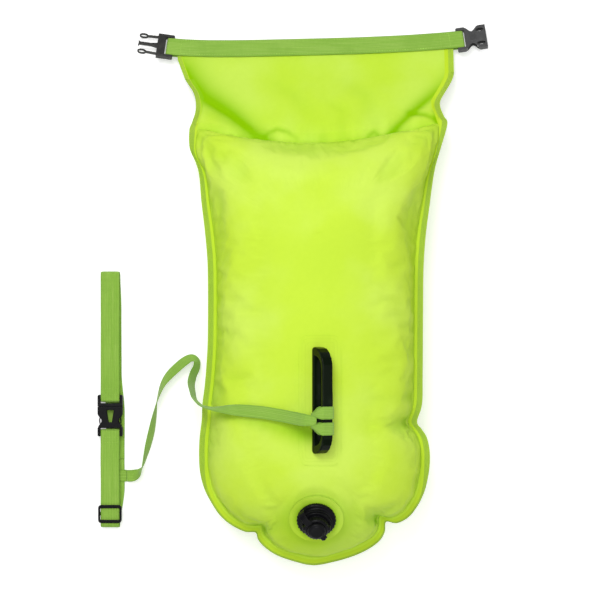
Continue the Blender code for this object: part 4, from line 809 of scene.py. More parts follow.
def makeEdge(material):
    outer, inner = (smoothLine(line, rimShape["steps"]) for line in (rimOuter, rimInner))
    places, lanes, slims = [], [], []
    along = 0.0
    across = rimShape["across"]
    full = bag["rim"] + rimShape["overlap"]
    for k, (out, into) in enumerate(zip(outer, inner)):
        if k:
            along += float(np.linalg.norm(out - outer[k - 1]))
        way = (into - out) / np.linalg.norm(into - out)
        slim = out[0] < 0 and out[1] > rimShape["slimFrom"]
        flutter = rimShape["flutter"] * wave(along / (34 * mm), 4.4)
        flutter += rimShape["tremble"] * wave(along / (11 * mm), 9.1)
        curl = rimShape["curl"] * ease(rimShape["curlFrom"] - out[1], rimShape["curlOver"])
        for side in (1, -1):
            for share in [j / across for j in range(across + 1)][::side]:
                thick = bag["rimThickness"] / 2 * (1 - (2 * abs(share - 0.5)) ** 6 * 0.6)
                lift = side * thick + flutter * (1 - share) ** 2
                places.append(out + way * full * share + np.array((0, 0, lift)))
                lanes.append((along, weldLane(full * share + curl, slim), side))
                slims.append(slim)
    made = tube("weldedEdge", places, lanes, 2 * (across + 1), False, material)
    toNeck = neckMatrix.inverted()
    x, y = np.array([(toNeck @ Vector(place)).xy for place in places]).T
    # painted shade: where the weld is slim it carries on the neck's painted valley shade, elsewhere a light
    # even painted shade
    mark(made, np.where(slims, sheetForm(x, -y, seamLine(x), 1)[1], rimShape["shade"]))
    piece(made, "rim_olive", "bag", "edge_rim")


# Roll top: two sheets of film with their fold valleys and creases, painted darker as shade

# tone and backShade are even painted shade on the front and back sheets
cloth = {"across": 200, "down": 110, "half": 0.35 * mm, "split": 40 * mm,
         "apart": 0.6 * mm, "under": 1.5 * mm, "plateau": 6.0 * mm, "wing": 4.6 * mm, "seamRise": 3.4 * mm,
         "pleat": 1.1 * mm, "sag": 0.8 * mm, "tone": 0.16, "backShade": 0.15, "crisp": math.radians(50)}
valleys = (
    {"line": ((-176, 52), (-152, 80), (-112, 111), (-70, 150)), "side": -1,
     "above": (25 * mm, 9 * mm), "below": (16 * mm, 6.5 * mm), "shade": (0.84, 0.98)},
    {"line": ((182, 58), (165, 76), (125, 112), (93, 145)), "side": 1,
     "above": (13 * mm, 5.5 * mm), "below": (6.5 * mm, 4.5 * mm), "shade": (0.40, 0.85)},
)
creases = (
    {"line": ((119, 113), (140, 118), (168, 133)), "depth": 1.6 * mm, "wide": 4.0 * mm, "shade": 0.62},
    {"line": ((152, 108), (154, 120), (159, 136)), "depth": 0.7 * mm, "wide": 4.5 * mm, "shade": 0.55},
    {"line": ((-71, 145), (-63, 138), (-53, 134), (-40, 138), (-28, 146)),
     "depth": 1.3 * mm, "wide": 3.2 * mm, "shade": 0.5},
    {"line": ((62, 152), (66, 144), (73, 140), (81, 146)), "depth": 1.3 * mm, "wide": 3.0 * mm, "shade": 0.5},
    {"line": ((-152, 104), (-120, 122), (-92, 140)), "depth": 0.9 * mm, "wide": 5.0 * mm, "shade": 0.12},
    {"line": ((-60, 60), (-30, 84), (-8, 118)), "depth": 0.8 * mm, "wide": 10.0 * mm, "shade": 0.10},
    {"line": ((40, 66), (64, 88), (70, 120)), "depth": 0.8 * mm, "wide": 11.0 * mm, "shade": 0.12},
    {"line": ((10, 92), (34, 112), (30, 138)), "depth": 0.7 * mm, "wide": 7.0 * mm, "shade": 0.08},
)
sheets = {
    "neck": {"name": "neckSheet", "from": cloth["split"], "toSeam": True,
             "nodes": ("neck_",), "bodies": ("bag", "roll_flap"), "blend": (62 * mm, 48 * mm),
             "flat": (0.36, 0.112), "area": 0.0345, "on": "weldedEdge"},
    "mouth": {"name": "mouthSheet", "from": 0.9 * mm, "toSeam": False,
              "nodes": ("roll_flap_", "mouth_strip_"), "bodies": ("roll_flap", "hem"),
              "blend": (32 * mm, 18 * mm), "flat": (0.366, 0.0395), "area": 0.0142, "on": "hemWebbing"},
}


def hemCurve(x):
    power = np.where(x < 0, hemBend["left"], hemBend["right"])
    held = np.minimum(np.abs(x), hemBend["bar"] - hemBend["horn"])
    share = held / hemBend["bar"]
    slope = power * hemBend["rise"] / hemBend["bar"] * share ** (power - 1)
    return hemBend["rise"] * share ** power + slope * (np.abs(x) - held), np.where(x >= 0, slope, -slope)


def hemPlace(x, up):
    rise, slope = hemCurve(x)
    turn = np.arctan(slope)
    off = up - neck["hem"] / 2
    return x - off * np.sin(turn), neck["hem"] - (neck["hem"] / 2 + rise + off * np.cos(turn))


def sheetEdge(table, down):
    flap = 1 + (table[0][1] - 1) * np.clip((down - neck["hem"]) / neck["flap"], 0, 1)
    return neck["half"] * np.where(down < fold, flap, follow(table, (down - fold) / neck["length"]))


def lineDistance(x, down, line):
    # how far to which side of the line, and how far along it from 0 to 1
    best, way = np.full(x.shape, 1e9), np.zeros(x.shape)
    for k, (start, end) in enumerate(zip(line, line[1:])):
        (ax, ay), (dx, dy) = np.array(start) * mm, (np.array(end) - start) * mm
        t = np.clip(((x - ax) * dx + (down - ay) * dy) / (dx * dx + dy * dy), 0, 1)
        far = np.hypot(x - ax - dx * t, down - ay - dy * t)
        side = np.where(dx * (down - ay) - dy * (x - ax) >= 0, 1, -1)
        way = np.where(far < np.abs(best), (k + t) / (len(line) - 1), way)
        best = np.where(far < np.abs(best), far * side, best)
    return best, way


def sheetForm(x, down, low, side):
    # lift and painted shade of the roll top's film, which bulges between its valleys; the valleys and creases
    # are painted darker
    lift, shade = np.full(x.shape, cloth["plateau"]), np.zeros(x.shape)
    for valley in valleys:
        far, way = lineDistance(x, down, valley["line"])
        above = far * valley["side"] >= 0
        far = np.abs(far)
        rises = cloth["plateau"] * ease(far, 40 * mm) ** 0.8, cloth["wing"] * ease(far, 17 * mm)
        lift = np.minimum(lift, np.where(above, *rises))
        widths = (start + (end - start) * way for start, end in (valley["above"], valley["below"]))
        first, last = valley["shade"]
        dark = first + (last - first) * ease(way * 1.6)
        shade = np.maximum(shade, dark * np.exp(-(far / np.where(above, *widths)) ** 1.6))
    lift *= ease(down - 44 * mm, 56 * mm)
    for crease in creases:
        far, way = lineDistance(x, down, crease["line"])
        far = np.abs(far) / crease["wide"]
        fade = np.sin(math.pi * np.clip(0.12 + 0.76 * way, 0, 1)) * (far < 3)
        pull = bell(far, 1) * fade
        lift -= crease["depth"] * (pull - 0.5 * bell(far - 1.6, 1) * fade)
        shade += crease["shade"] * pull
    near = ease(1 - (low - down) / (30 * mm)) * ease(150 * mm - np.abs(x), 40 * mm)
    pleat = waves(x / (13 * mm), 3.0, down / (30 * mm)) + 0.6 * waves(x / (6 * mm), 8.0, down / (22 * mm))
    lift += (cloth["seamRise"] - lift) * near + cloth["pleat"] * pleat * near
    lift *= ease(low - down + 0.5 * mm, 13 * mm)
    lift += cloth["sag"] * waves(x / (46 * mm), down / (34 * mm), 5.0) * ease(down - 30 * mm, 24 * mm)
    if side < 0:
        return -0.4 * lift, np.full(x.shape, cloth["backShade"])
    # painted shade on the pleats by the seam, and a dark line along the seam
    shade += 0.16 * near * pleat + 0.22 * bell(low - down, 3.5 * mm)
    return lift, np.minimum(1, shade + cloth["tone"])


def makeSheet(film, look, side, word):
    across, down = cloth["across"], cloth["down"]
    share = np.arange(across + 1)[:, None] / across
    low = seamLine(seamFrom + (seamTo - seamFrom) * share) + np.zeros(down + 1)
    end = low + cloth["under"] if look["toSeam"] else cloth["split"]
    s = look["from"] + (end - look["from"]) * np.arange(down + 1) / down + 0 * low
    inset = (bag["rim"] - cloth["under"]) * (s > fold)
    left, right = (sheetEdge(table, np.minimum(s, corner)) - inset for table in (neckLeft, neckRight))
    x = -left + (right + left) * share
    edge = np.minimum(x + left, right - x) + inset
    lift, shade = sheetForm(x, s, low, side)
    lift = lift * ease(s - 27 * mm, 10 * mm) * ease(edge, 14 * mm)
    # painted shade along the sheet's edges, strongest on the left
    edgeShade = np.exp(-edge / (9 * mm)) * ease(92 * mm - s, 30 * mm)
    shade = np.minimum(1, shade + 0.45 * edgeShade * np.where(x < 0, 1, 0.4))
    bend = np.clip(1 - s / neck["hem"], 0, 1)
    bent = [flat + (bent - flat) * bend for flat, bent in zip((x, s), hemPlace(x, neck["hem"] - s))]
    bent.append(side * cloth["apart"] + lift)
    grid = [neckPlace(*place) for place in zip(*map(np.ravel, bent))]
    half = np.array(neckTurn @ Vector((0, 0, 1))) * cloth["half"]
    total = len(grid)
    index = np.arange(total).reshape(across + 1, down + 1)
    quads = np.stack((index[:-1, :-1], index[1:, :-1], index[1:, 1:], index[:-1, 1:]), 2).reshape(-1, 4)
    faces = quads.tolist() + (quads[:, ::-1] + total).tolist()
    border = np.concatenate((index[:, 0], index[-1, 1:], index[-2::-1, -1], index[0, -2:0:-1])).tolist()
    faces += [(a, b, total + b, total + a) for a, b in zip(border, border[1:] + border[:1])]
    made = newObject(look["name"] + word, [p + half for p in grid] + [p - half for p in grid], faces, film)
    lanes = np.stack((s, weldLane(edge, x < 0), np.full(s.shape, side)), axis=2)
    mark(made, np.tile(shade.ravel(), 2), np.tile(lanes.reshape(-1, 3), (2, 1)))
    with meshEdit(faceOut(made).data) as bm:
        for line in bm.edges:
            if len(line.link_faces) == 2 and line.calc_face_angle(0) > cloth["crisp"]:
                line.smooth = False
    piece(made, "lime_film", None, *(node + word.lower() for node in look["nodes"]))
    start, end = (tuple(neckPlace(0, down)) for down in look["blend"])
    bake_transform(made)


def makeRollTop(film, stiffener):
    for side, word in ((1, "Front"), (-1, "Back")):
        for look in sheets.values():
            makeSheet(film, look, side, word)
    dress(frame["nodes"]["hem_stiffener"].data, stiffener, False)


hemStrap = {"thickness": 1.5 * mm, "frontRun": 3.2 * mm, "backRun": -1.9 * mm, "bends": 16, "runs": 140,
            "wobble": 0.22 * mm, "slack": 0.2 * mm, "sewn": 176 * mm, "sewnIn": 2.6 * mm, "sewnPoints": 120,
            "ends": (166 * mm, 178 * mm), "endIn": 3.4 * mm, "endPoints": 8}


def makeHem(webbing):
    middle = (hemStrap["frontRun"] + hemStrap["backRun"]) / 2
    radius = (hemStrap["frontRun"] - hemStrap["backRun"]) / 2
    frames = []
    for x, high, nx, nz in loopPath(hemBend["bar"], radius, hemStrap["bends"], hemStrap["runs"]):
        turn = np.arctan(hemCurve(x)[1])
        wobble = hemStrap["wobble"] * wave(x / (22 * mm), nz, 1.0)
        centre = neckPlace(*hemPlace(x, neck["hem"] / 2), middle + high + wobble)
        side = np.array(neckTurn @ Vector((-np.sin(turn), np.cos(turn), 0)))
        face = np.array(neckTurn @ Vector((nx * np.cos(turn), nx * np.sin(turn), nz)))
        frames.append((centre, side, face))
    width = neck["hem"] - hemStrap["slack"]
    made = ribbon("hemWebbing", frames, width, hemStrap["thickness"], webbing, True, 12)
    piece(made, "strap_green", "hem", "hem_webbing")
    out = hemStrap["frontRun"] + hemStrap["thickness"] / 2
    span, count, inset = hemStrap["sewn"], hemStrap["sewnPoints"], hemStrap["sewnIn"]
    rows = [[neckPlace(*hemPlace(2 * span * k / count - span, up), out) for k in range(count + 1)]
            for up in (inset, neck["hem"] - inset)]
    stitch("hemStitches", rows, 3.4 * mm, 2.3 * mm, 0.26 * mm, "hem")
    count, inset = hemStrap["endPoints"], hemStrap["endIn"]
    ups = [inset + (neck["hem"] - 2 * inset) * k / count for k in range(count + 1)]
    spots = [sign * x for sign in (-1, 1) for x in hemStrap["ends"]]
    rows = [[neckPlace(*hemPlace(x, up), out) for up in ups] for x in spots]
    stitch("hemEndStitches", rows, 2.6 * mm, 1.9 * mm, 0.26 * mm, "hem")


# Stitches: Geometry Nodes puts a short thread on evenly spaced points of the sewing lines

def stitch(name, lines, pitch, length, radius, body):
    curve = bpy.data.curves.new(name, "CURVE")
    curve.dimensions = "3D"
    for line in lines:
        points = curve.splines.new("POLY").points
        points.add(len(line) - 1)
        for point, place in zip(points, line):
            point.co = (*map(float, place), 1)
    tree = bpy.data.node_groups.new(name, "GeometryNodeTree")
    for way in ("INPUT", "OUTPUT"):
        tree.interface.new_socket("Geometry", in_out=way, socket_type="NodeSocketGeometry")
    sewn = addNode(tree, "NodeGroupInput").outputs[0]
    evenly = addNode(tree, "GeometryNodeResampleCurve", {"mode": "LENGTH"}, Curve=sewn, Length=pitch)
    thread = addNode(tree, "GeometryNodeMeshIcoSphere", None, Radius=1.0, Subdivisions=2).outputs[0]
    tangent = addNode(tree, "GeometryNodeInputTangent").outputs[0]
    aim = addNode(tree, "FunctionNodeAlignRotationToVector", {"axis": "X"}, Vector=tangent).outputs[0]
    threads = addNode(tree, "GeometryNodeInstanceOnPoints", None, Points=evenly.outputs[0], Instance=thread,
                      Rotation=aim, Scale=(length / 2, radius * 1.3, radius)).outputs[0]
    real = addNode(tree, "GeometryNodeRealizeInstances", None, i0=threads).outputs[0]
    painted = addNode(tree, "GeometryNodeSetMaterial", None, i0=real, Material=threadMaterial).outputs[0]
    addNode(tree, "NodeGroupOutput", None, i0=painted)
    source = linked(name + "Line", curve)
    source.modifiers.new(name, "NODES").node_group = tree
    bpy.context.view_layer.update()
    mesh = bpy.data.meshes.new_from_object(source.evaluated_get(bpy.context.evaluated_depsgraph_get()))
    bpy.data.objects.remove(source, do_unlink=True)
    piece(linked(name, dress(mesh, threadMaterial)), "strap_green", body)


# Leash: a free webbing strap from the handle's hitch to the loop round the belt

leashRoute = (
    (0.1, -147.1, 196.0, 0), (-7.3, -146.8, 196.1, 0), (-17.0, -145.8, 191.0, 1),
    (-27.0, -144.6, 181.4, 2), (-38.0, -143.0, 172.3, 4), (-50.0, -141.4, 165.3, 6),
    (-64.0, -139.5, 159.1, 9), (-81.0, -138.0, 153.9, 16),
    (-97.0, -137.0, 147.6, 28), (-111.0, -136.3, 140.7, 48), (-124.0, -136.0, 132.2, 70),
    (-135.5, -135.4, 119.7, 84), (-146.0, -133.0, 103.7, 90), (-155.0, -126.5, 84.6, 84),
    (-160.0, -117.0, 61.5, 70), (-162.0, -108.0, 41.5, 58), (-160.5, -98.5, 27.0, 52),
    (-157.0, -89.0, 16.9, 56), (-157.0, -81.0, 13.0, 62), (-163.5, -77.0, 11.8, 52),
    (-172.5, -81.0, 11.1, 42), (-184.0, -90.5, 10.9, 40), (-194.0, -100.5, 11.0, 46),
    (-202.5, -113.0, 11.3, 62), (-209.0, -132.0, 11.4, 82), (-213.0, -153.0, 11.3, 106),
    (-217.0, -174.0, 11.1, 118), (-221.5, -193.0, 11.0, 116), (-225.5, -209.0, 10.8, 104),
    (-229.0, -221.5, 9.8, 90), (-234.5, -230.0, 7.8, 52), (-242.0, -233.5, 5.2, 16),
    (-250.2, -234.0, 4.3, 0),
)
leash = {"width": 15.5 * mm, "thickness": 1.3 * mm, "steps": 6, "pinch": 0.84, "free": 6 * mm,
         "pinched": 13 * mm, "sunk": 2.6 * mm, "sunkOver": 9 * mm}


def leashFrames(steps):
    line = smoothLine([np.array((x, y, z)) * mm for x, y, z, roll in leashRoute], steps)
    rolls = smoothLine([(math.radians(roll),) for x, y, z, roll in leashRoute], steps)
    frames = []
    for k, place in enumerate(line):
        ahead = Vector(line[min(k + 1, len(line) - 1)] - line[max(k - 1, 0)]).normalized()
        level = Vector((-ahead.y, ahead.x, 0)).normalized()
        up = ahead.cross(level).normalized()
        up = up if up.z >= 0 else -up
        side = level * math.cos(rolls[k][0]) + up * math.sin(rolls[k][0])
        face = ahead.cross(side).normalized()
        free = float(np.linalg.norm(place - line[0])) - leash["free"]
        narrow = leash["pinch"] + (1 - leash["pinch"]) * ease(free, leash["pinched"])
        sunk = leash["sunk"] * (1 - ease(free, leash["sunkOver"]))
        frames.append((place - np.array((0, 0, sunk)), np.array(side) * narrow, np.array(face)))
    return frames


def makeLeash(webbing):
    made = ribbon("leashStrap", leashFrames(leash["steps"]), leash["width"], leash["thickness"], webbing)
    piece(made, "strap_green", "bag", "leash_webbing")


# Straps: hitch, belt and the leash's loop round it

hitch = {"place": -23.5 * mm, "lobe": 15.5 * mm, "parting": 4.0 * mm, "thickness": 1.25 * mm, "sweep": 56,
         "halfWidth": 7.9 * mm, "halfHeight": 4.3 * mm, "gather": 0.22, "reach": 19.5 * mm, "cross": 7.4 * mm,
         "thin": 0.45, "thinOver": 12 * mm, "droop": 0.16}
grip = {"place": (1.9 * mm, -123.605 * mm, 166.003 * mm), "lean": math.radians(24), "middle": 27.05 * mm}
gripMatrix = (Matrix.Translation(grip["place"]) @ Matrix.Translation((0, 0, bag["gap"]))
              @ Matrix.Rotation(grip["lean"], 4, "Y") @ Matrix.Translation((0, 0, grip["middle"])))


def hitchFrames(side):
    # from its fold on the left, over the grip, round its right edge and back underneath
    turn = gripMatrix.to_3x3()
    wide, high, reach = hitch["halfWidth"], hitch["halfHeight"], hitch["reach"]
    frames = []
    for k in range(hitch["sweep"] + 1):
        angle = math.pi * (1 - 2 * k / hitch["sweep"]) * side
        cx, cz = math.cos(angle), math.sin(angle)
        x = (wide if cx > 0 else reach) * math.copysign(abs(cx) ** 0.6, cx)
        right = ease(x + reach, 0.62 * reach) ** 0.8
        flare = hitch["gather"] + (1 - hitch["gather"]) * right
        far = side * (hitch["cross"] + ((hitch["lobe"] + hitch["parting"]) / 2 - hitch["cross"]) * right)
        extra = max(0.0, -x - wide)
        thin = 1 - hitch["thin"] * ease(extra, hitch["thinOver"])
        z = high * math.copysign(abs(cz) ** 0.55, cz) * thin
        place = gripMatrix @ Vector((x + extra, hitch["place"] + far, z))
        place += Vector((-extra, 0, -hitch["droop"] * extra))
        normal = Vector((cx * high, 0, cz * wide)).normalized()
        frames.append((np.array(place), np.array(turn @ Vector((0, 1, 0))) * flare, np.array(turn @ normal)))
    return frames


def makeHitch(webbing):
    for side, word in ((1, "Upper"), (-1, "Lower")):
        lobe = ribbon("hitchLobe" + word, hitchFrames(side), hitch["lobe"], hitch["thickness"], webbing)
        piece(lobe, "strap_green", "bag", "leash_handle_hitch")


beltLook = {"x": -272 * mm, "low": 2.4 * mm, "high": 10.7 * mm, "top": 37.3 * mm, "bottom": -301.5 * mm,
            "maleBar": -132.4 * mm, "femaleBar": -174.4 * mm, "split": -212 * mm, "tail": 18 * mm,
            "barRadius": 1.5 * mm, "webbing": 1.4 * mm, "width": 24.8 * mm, "swayTop": 1.8 * mm,
            "swayLow": 6.0 * mm, "swayTurn": -95 * mm, "drift": 0.5 * mm, "lift": 0.35 * mm, "roll": 0.03,
            "calm": 0.2, "ends": 24}
beltTurn = {"radius": (beltLook["high"] - beltLook["low"]) / 2,
            "middle": (beltLook["high"] + beltLook["low"]) / 2}
belts = (("Upper", "belt_end", beltLook["maleBar"], 1, beltLook["top"] - beltTurn["radius"]),
         ("Lower", "bag", beltLook["femaleBar"], -1, beltLook["bottom"] + beltTurn["radius"]))


def beltSway(along):
    over = 3 * beltLook["tail"]
    low = ease(beltLook["swayTurn"] - along, over)
    wide = beltLook["swayTop"] + (beltLook["swayLow"] - beltLook["swayTop"]) * low
    return wide * ease(beltLook["top"] - along, over) * ease(along - beltLook["bottom"], over)


def halfTurn(along, high, radius, start, way):
    turns = [math.radians(start - 180 * k / 8) for k in range(9)]
    return [(along + way * radius * math.cos(turn), high + radius * math.sin(turn)) for turn in turns]


def beltEnd(bar, way):
    # the tail below, and the turn round the buckle's bar
    thick, gap, tail = beltLook["webbing"], bag["gap"], beltLook["tail"]
    radius = beltLook["barRadius"] + gap + thick / 2
    barHigh = beltLook["high"] - radius
    path = [(bar + way * tail * share, beltLook["high"] - thick - gap) for share in (1.0, 0.85, 0.7)]
    path.append((bar + way * tail * 0.4, barHigh - radius + thick))
    return path + halfTurn(bar, barHigh, radius, -90, way)


def beltFrames(path, side):
    frames = []
    line = smoothLine([(0, y, z) for y, z in path], 4)
    for k, (zero, y, z) in enumerate(line):
        ahead = line[min(k + 1, len(line) - 1)] - line[max(k - 1, 0)]
        ahead = ahead / max(np.linalg.norm(ahead), 1e-9)
        under = ease(beltTurn["middle"] - z, 3 * mm)
        calm = beltLook["calm"] if under > 0.5 else 1
        drift = beltLook["drift"] * wave(y / (60 * mm), side + under, 2.0)
        drift += beltSway(y) * under * (k > beltLook["ends"])
        lift = beltLook["lift"] * wave(y / (38 * mm), side + 3 * under, 7.0) * calm
        roll = beltLook["roll"] * wave(y / (45 * mm), side, 4.0) * calm
        frames.append((np.array((beltLook["x"] + drift, y, z + lift)),
                       np.array((math.cos(roll), 0, math.sin(roll))), np.array((0.0, -ahead[2], ahead[1]))))
    return frames


def makeBelt(webbing):
    high, split = beltLook["high"], beltLook["split"]
    for word, body, bar, way, reach in belts:
        path = beltEnd(bar, way)
        path += [(bar + (reach - bar) * share, high) for share in (0.12, 0.3, 0.5, 0.7, 0.88)]
        path += halfTurn(reach, beltTurn["middle"], beltTurn["radius"], 90, way)
        path += [(reach + (split - reach) * k / 12, beltLook["low"]) for k in range(1, 13)]
        frames = beltFrames(path, way)
        made = ribbon(f"belt{word}Strap", frames, beltLook["width"], beltLook["webbing"], webbing, across=12)
        piece(made, "strap_green", body, "belt_webbing_" + word.lower())
    top = high + beltLook["webbing"] / 2 + 0.1 * mm
    for word, body, bar, way, reach in belts:
        lines = [[(beltLook["x"] + dx * mm, bar + way * out * mm, top) for dx in range(-9, 10, 3)]
                 for out in (7.5, 14.5)]
        lines += [[(beltLook["x"] + dx * mm, bar + way * out * mm, top) for out in (7.5, 10, 12.5, 14.5)]
                  for dx in (-9.5, 9.5)]
        stitch("beltStitches" + word, lines, 2.6 * mm, 1.9 * mm, 0.25 * mm, body)


loop = {"along": -234 * mm, "half": 13.4 * mm, "thickness": 1.2 * mm, "width": 15.5 * mm, "bends": 12,
        "runs": 16, "sewnAfter": 3 * mm, "sewnHigh": 5.1 * mm}


def makeLoop(webbing):
    radius = beltLook["webbing"] / 2 + bag["gap"] + leash["thickness"] / 2
    middle = beltLook["x"] + beltLook["swayLow"]
    path = loopPath(loop["half"], radius, loop["bends"], loop["runs"])
    frames = []
    for k, (x, z, nx, nz) in enumerate(path):
        after = path[(k + 1) % len(path)]
        ahead = np.array((after[0] - path[k - 1][0], after[1] - path[k - 1][1]))
        ahead /= np.linalg.norm(ahead)
        place = np.array((middle + x, loop["along"], beltLook["low"] + z))
        frames.append((place, np.array((0, 1.0, 0)), np.array((ahead[1], 0, -ahead[0]))))
    made = ribbon("beltLoop", frames, loop["width"], loop["thickness"], webbing, True)
    piece(made, "strap_green", "bag", "leash_belt_loop")
    x = middle + loop["half"] + radius + loop["sewnAfter"]
    lines = [[(x + dx * mm, loop["along"] + dy * mm, loop["sewnHigh"]) for dy in range(-6, 7, 2)]
             for dx in (0.6, 6.0)]
    stitch("loopStitches", lines, 2.4 * mm, 1.8 * mm, 0.24 * mm, "bag")


# Handle's patch and the valve's patch

patchLook = {"x": 4.6 * mm, "along": -123.605 * mm, "half": 27 * mm, "length": 81 * mm, "corner": 12 * mm,
             "pitch": 4.2 * mm, "lineRamp": (0.72, 0.95), "lineEnd": (13 * mm, 11.5 * mm), "lined": 0.09,
             "tone": 0.02, "cuts": 4}
# tone and dark are the painted shade of the valve's patch ring
valveRing = {"edge": 34 * mm, "inner": 24 * mm, "fade": 5 * mm, "tone": 0.24, "dark": 0.45, "cuts": 2}


def outlineDistance(x, y):
    # inward distance from the patch's rounded outline
    corner = patchLook["corner"]
    dx = abs(x - patchLook["x"]) - patchLook["half"] + corner
    dy = abs(y - patchLook["along"]) - patchLook["length"] + corner
    return corner - math.hypot(max(dx, 0), max(dy, 0)) if dx > 0 and dy > 0 else corner - max(dx, dy)


def patchPiece(name, node, cuts, film, smooth):
    mesh = cadMesh(node)
    with meshEdit(mesh) as bm:
        bmesh.ops.subdivide_edges(bm, edges=bm.edges[:], cuts=cuts, use_grid_fill=True)
    made = piece(linked(name, dress(mesh, film, smooth)), "lime_film", "bag", node)
    return made, np.array([v.co[:] for v in mesh.vertices])


def makePatches(film):
    made, places = patchPiece("gripPatch", "handle_patch", patchLook["cuts"], film, True)
    upright = 1 - np.abs([v.normal.z for v in made.data.vertices])
    # painted shade, as on the chamber film around it, plus a little more
    shade = np.minimum(filmShade(places, upright) + patchLook["tone"], 1)
    mark(made, shade, [(0, outlineDistance(x, y), 0) for x, y, z in places])
    made, places = patchPiece("valvePatchRing", "valve_patch", valveRing["cuts"], film, False)
    axis, centre = (np.array(joints["valve_turn"][key]) for key in ("axis", "pos_m"))
    off = places - centre
    far = np.linalg.norm(off - np.outer(off @ axis, axis), axis=1)
    # painted shade: a darker ring close to the valve's collar
    shade = valveRing["tone"] + valveRing["dark"] * bell(far - valveRing["inner"], valveRing["fade"])
    mark(made, shade, [(0, valveRing["edge"] - distance, 0) for distance in far])


# Moulded plastic pieces

ribs = {"wide": 0.7 * mm, "tall": 0.45 * mm}
hemTilt = math.radians(6)


def hemFrame(name, side):
    # the buckle's own frame: x to its tip, y across, z up
    slope = hemCurve(hemBend["bar"] * side)[1]
    turn = Matrix.Rotation(math.atan(slope) + (math.pi if side < 0 else 0), 4, "Z")
    base = neckTurn.to_4x4() @ turn @ Matrix.Rotation(-hemTilt, 4, "Y")
    return Matrix.Translation(joints[name]["pos_m"]) @ base


def ribRow(matrix, start, step, count, half, high):
    wide, tall = ribs["wide"] / 2, ribs["tall"]
    spots = [(start + step * k, side * high) for k in range(count) for side in (1, -1)]
    return [blockMesh((x - wide, -half, z - tall), (x + wide, half, z + tall), matrix) for x, z in spots]


def ribRing(matrix, count, low, high):
    turns = [Matrix.Rotation(2 * math.pi * k / count, 4, "Z") for k in range(count)]
    return [blockMesh(low, high, matrix @ turn, 0.2 * mm) for turn in turns]


def makePlastics(black, gloss, grey, charcoal):
    moulded("handleBow", "handle", "handle", "bag", gloss)
    row = ribRow(hemFrame("hem_male_swing", -1), 6.6 * mm, 1.7 * mm, 5, 14.2 * mm, 4.2 * mm)
    moulded("hemMale", "buckle", "hem_buckle_male", "hem_male", charcoal, row)
    row = ribRow(hemFrame("hem_female_swing", 1), 11.5 * mm, 1.8 * mm, 5, 5.2 * mm, 4.2 * mm)
    moulded("hemFemale", "buckle", "hem_buckle_female", "hem_female", grey, row, "grey_plastic")
    moulded("beltMale", "buckle", "belt_buckle_male", "belt_end", black)
    moulded("beltFemale", "buckle", "belt_buckle_female", "bag", black)
    moulded("beltSlider", "buckle", "belt_slider", "slider", black)
    print("buckles done")


def makeValve(black, rubber):
    axis = Vector(joints["valve_turn"]["axis"])
    turn = axis.to_track_quat("Z", "Y").to_matrix().to_4x4()
    seat = Matrix.Translation(joints["valve_turn"]["pos_m"]) @ turn
    ring = ribRing(seat, 24, (14.0 * mm, -0.6 * mm, 15.0 * mm), (15.3 * mm, 0.6 * mm, 22.6 * mm))
    moulded("valveInsert", "valve", "valve_insert", "valve_screw", black, ring)
    ring = ribRing(seat, 30, (23.3 * mm, -0.7 * mm, 0.9 * mm), (24.7 * mm, 0.7 * mm, 4.2 * mm))
    moulded("valveBase", "valve", "valve_base", "bag", black, ring)
    hinge = Vector(joints["cap_open"]["pos_m"])
    top = seat.inverted() @ hinge
    pull = seat @ Matrix.Rotation(math.atan2(top.y, top.x) + math.pi, 4, "Z")
    low, high = (9.5 * mm, -4.2 * mm, top.z - 0.6 * mm), (16.5 * mm, 4.2 * mm, top.z + 2.2 * mm)
    tab = blockMesh(low, high, pull, 1.2 * mm)
    moulded("valveCap", "valve", "valve_cap", "valve_plug", black, [tab])
    tether = moulded("valveTether", "valve", "valve_tether", None, black)
    low, high = hinge - axis * 8 * mm, hinge + axis * 1.5 * mm
    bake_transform(tether)
    for node in ("valve_seal", "valve_flap"):
        frame["nodes"][node].data.materials[0] = rubber
    print("valve done")


# Stage

floorLook = {"surface": (0.9, 0.1), "cloud": (3.0, 1.0), "tones": ((0.90, 0.90, 0.90), (0.92, 0.92, 0.92)),
             "glow": 0.35, "half": 4.0}


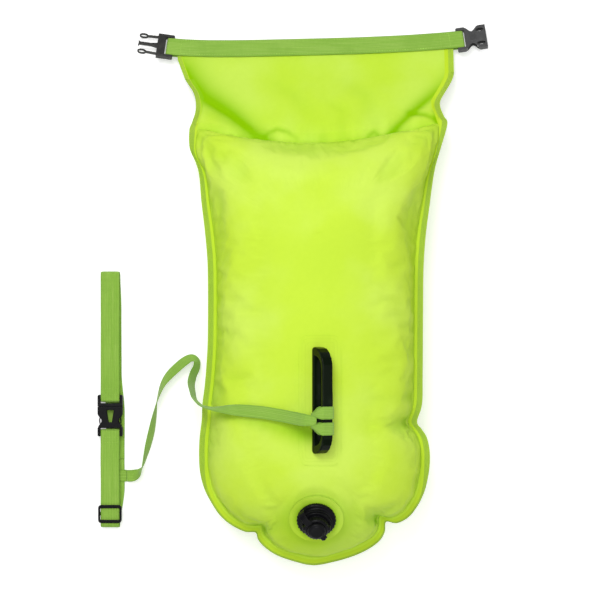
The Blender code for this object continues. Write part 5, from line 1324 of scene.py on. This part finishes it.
def makeStage():
    # the floor glows a little, for the camera and in reflections only
    made, tree = newMaterial("paleFloor", *floorLook["surface"])
    rays = addNode(tree, "LightPath").outputs
    seen = calc(tree, "MAXIMUM", rays["Is Camera Ray"], rays["Is Glossy Ray"])
    seen = calc(tree, "MAXIMUM", seen, rays["Is Transmission Ray"])
    feed(tree, Base_Color=mixColour(tree, clouds(tree, *floorLook["cloud"]), *floorLook["tones"]),
         Emission_Color=(1, 1, 1, 1), Emission_Strength=times(tree, seen, floorLook["glow"]))
    half = floorLook["half"]
    corners = [(x * half, y * half, 0) for x, y in ((-1, -1), (1, -1), (1, 1), (-1, 1))]
    newObject("floor", corners, [(0, 1, 2, 3)], made)


makeCamera()
makeLights()
threadMaterial = makePlastic("thread", (0.30, 0.52, 0.07), 0.7)
wideWebbing = makeWebbing("wideWebbing", 12.4 * mm)
leashWebbing = makeWebbing("leashWebbing", 7.75 * mm)
filmMaterial = makeFilm("limeFilm")
edgedFilm = makeFilm("edgedFilm", weldedBorder, filmLook["weldDepth"])
patchFilm = makeFilm("patchFilm", linedBorder, filmLook["lineDepth"])
rimMaterial = makeRim()
stiffenerPlastic = makePlastic("stiffener", (0.72, 0.74, 0.68), 0.4)
blackPlastic = makePlastic("blackPlastic", (0.004, 0.004, 0.005), 0.36, 0.11)
# glossPlastic is near-black with a faint green tint that paints the lime film's reflection
glossPlastic = makePlastic("glossPlastic", (0.003, 0.007, 0.002), 0.16, 0.07)
charcoalPlastic = makePlastic("charcoalPlastic", (0.024, 0.024, 0.022), 0.46, 0.3)
greyPlastic = makePlastic("greyPlastic", (0.050, 0.050, 0.051), 0.45, 0.4)
clearRubber = makeRubber("sealRubber", (0.55, 0.58, 0.52))
makeStage()
makeLeash(leashWebbing)
makeHitch(leashWebbing)
makeBelt(wideWebbing)
makeLoop(leashWebbing)
print("straps done")
makeChamber(filmMaterial)
print("chamber done")
makeEdge(rimMaterial)
makeRollTop(edgedFilm, stiffenerPlastic)
makeHem(wideWebbing)
print("roll top done")
makePatches(patchFilm)
makePlastics(blackPlastic, glossPlastic, greyPlastic, charcoalPlastic)
makeValve(blackPlastic, clearRubber)
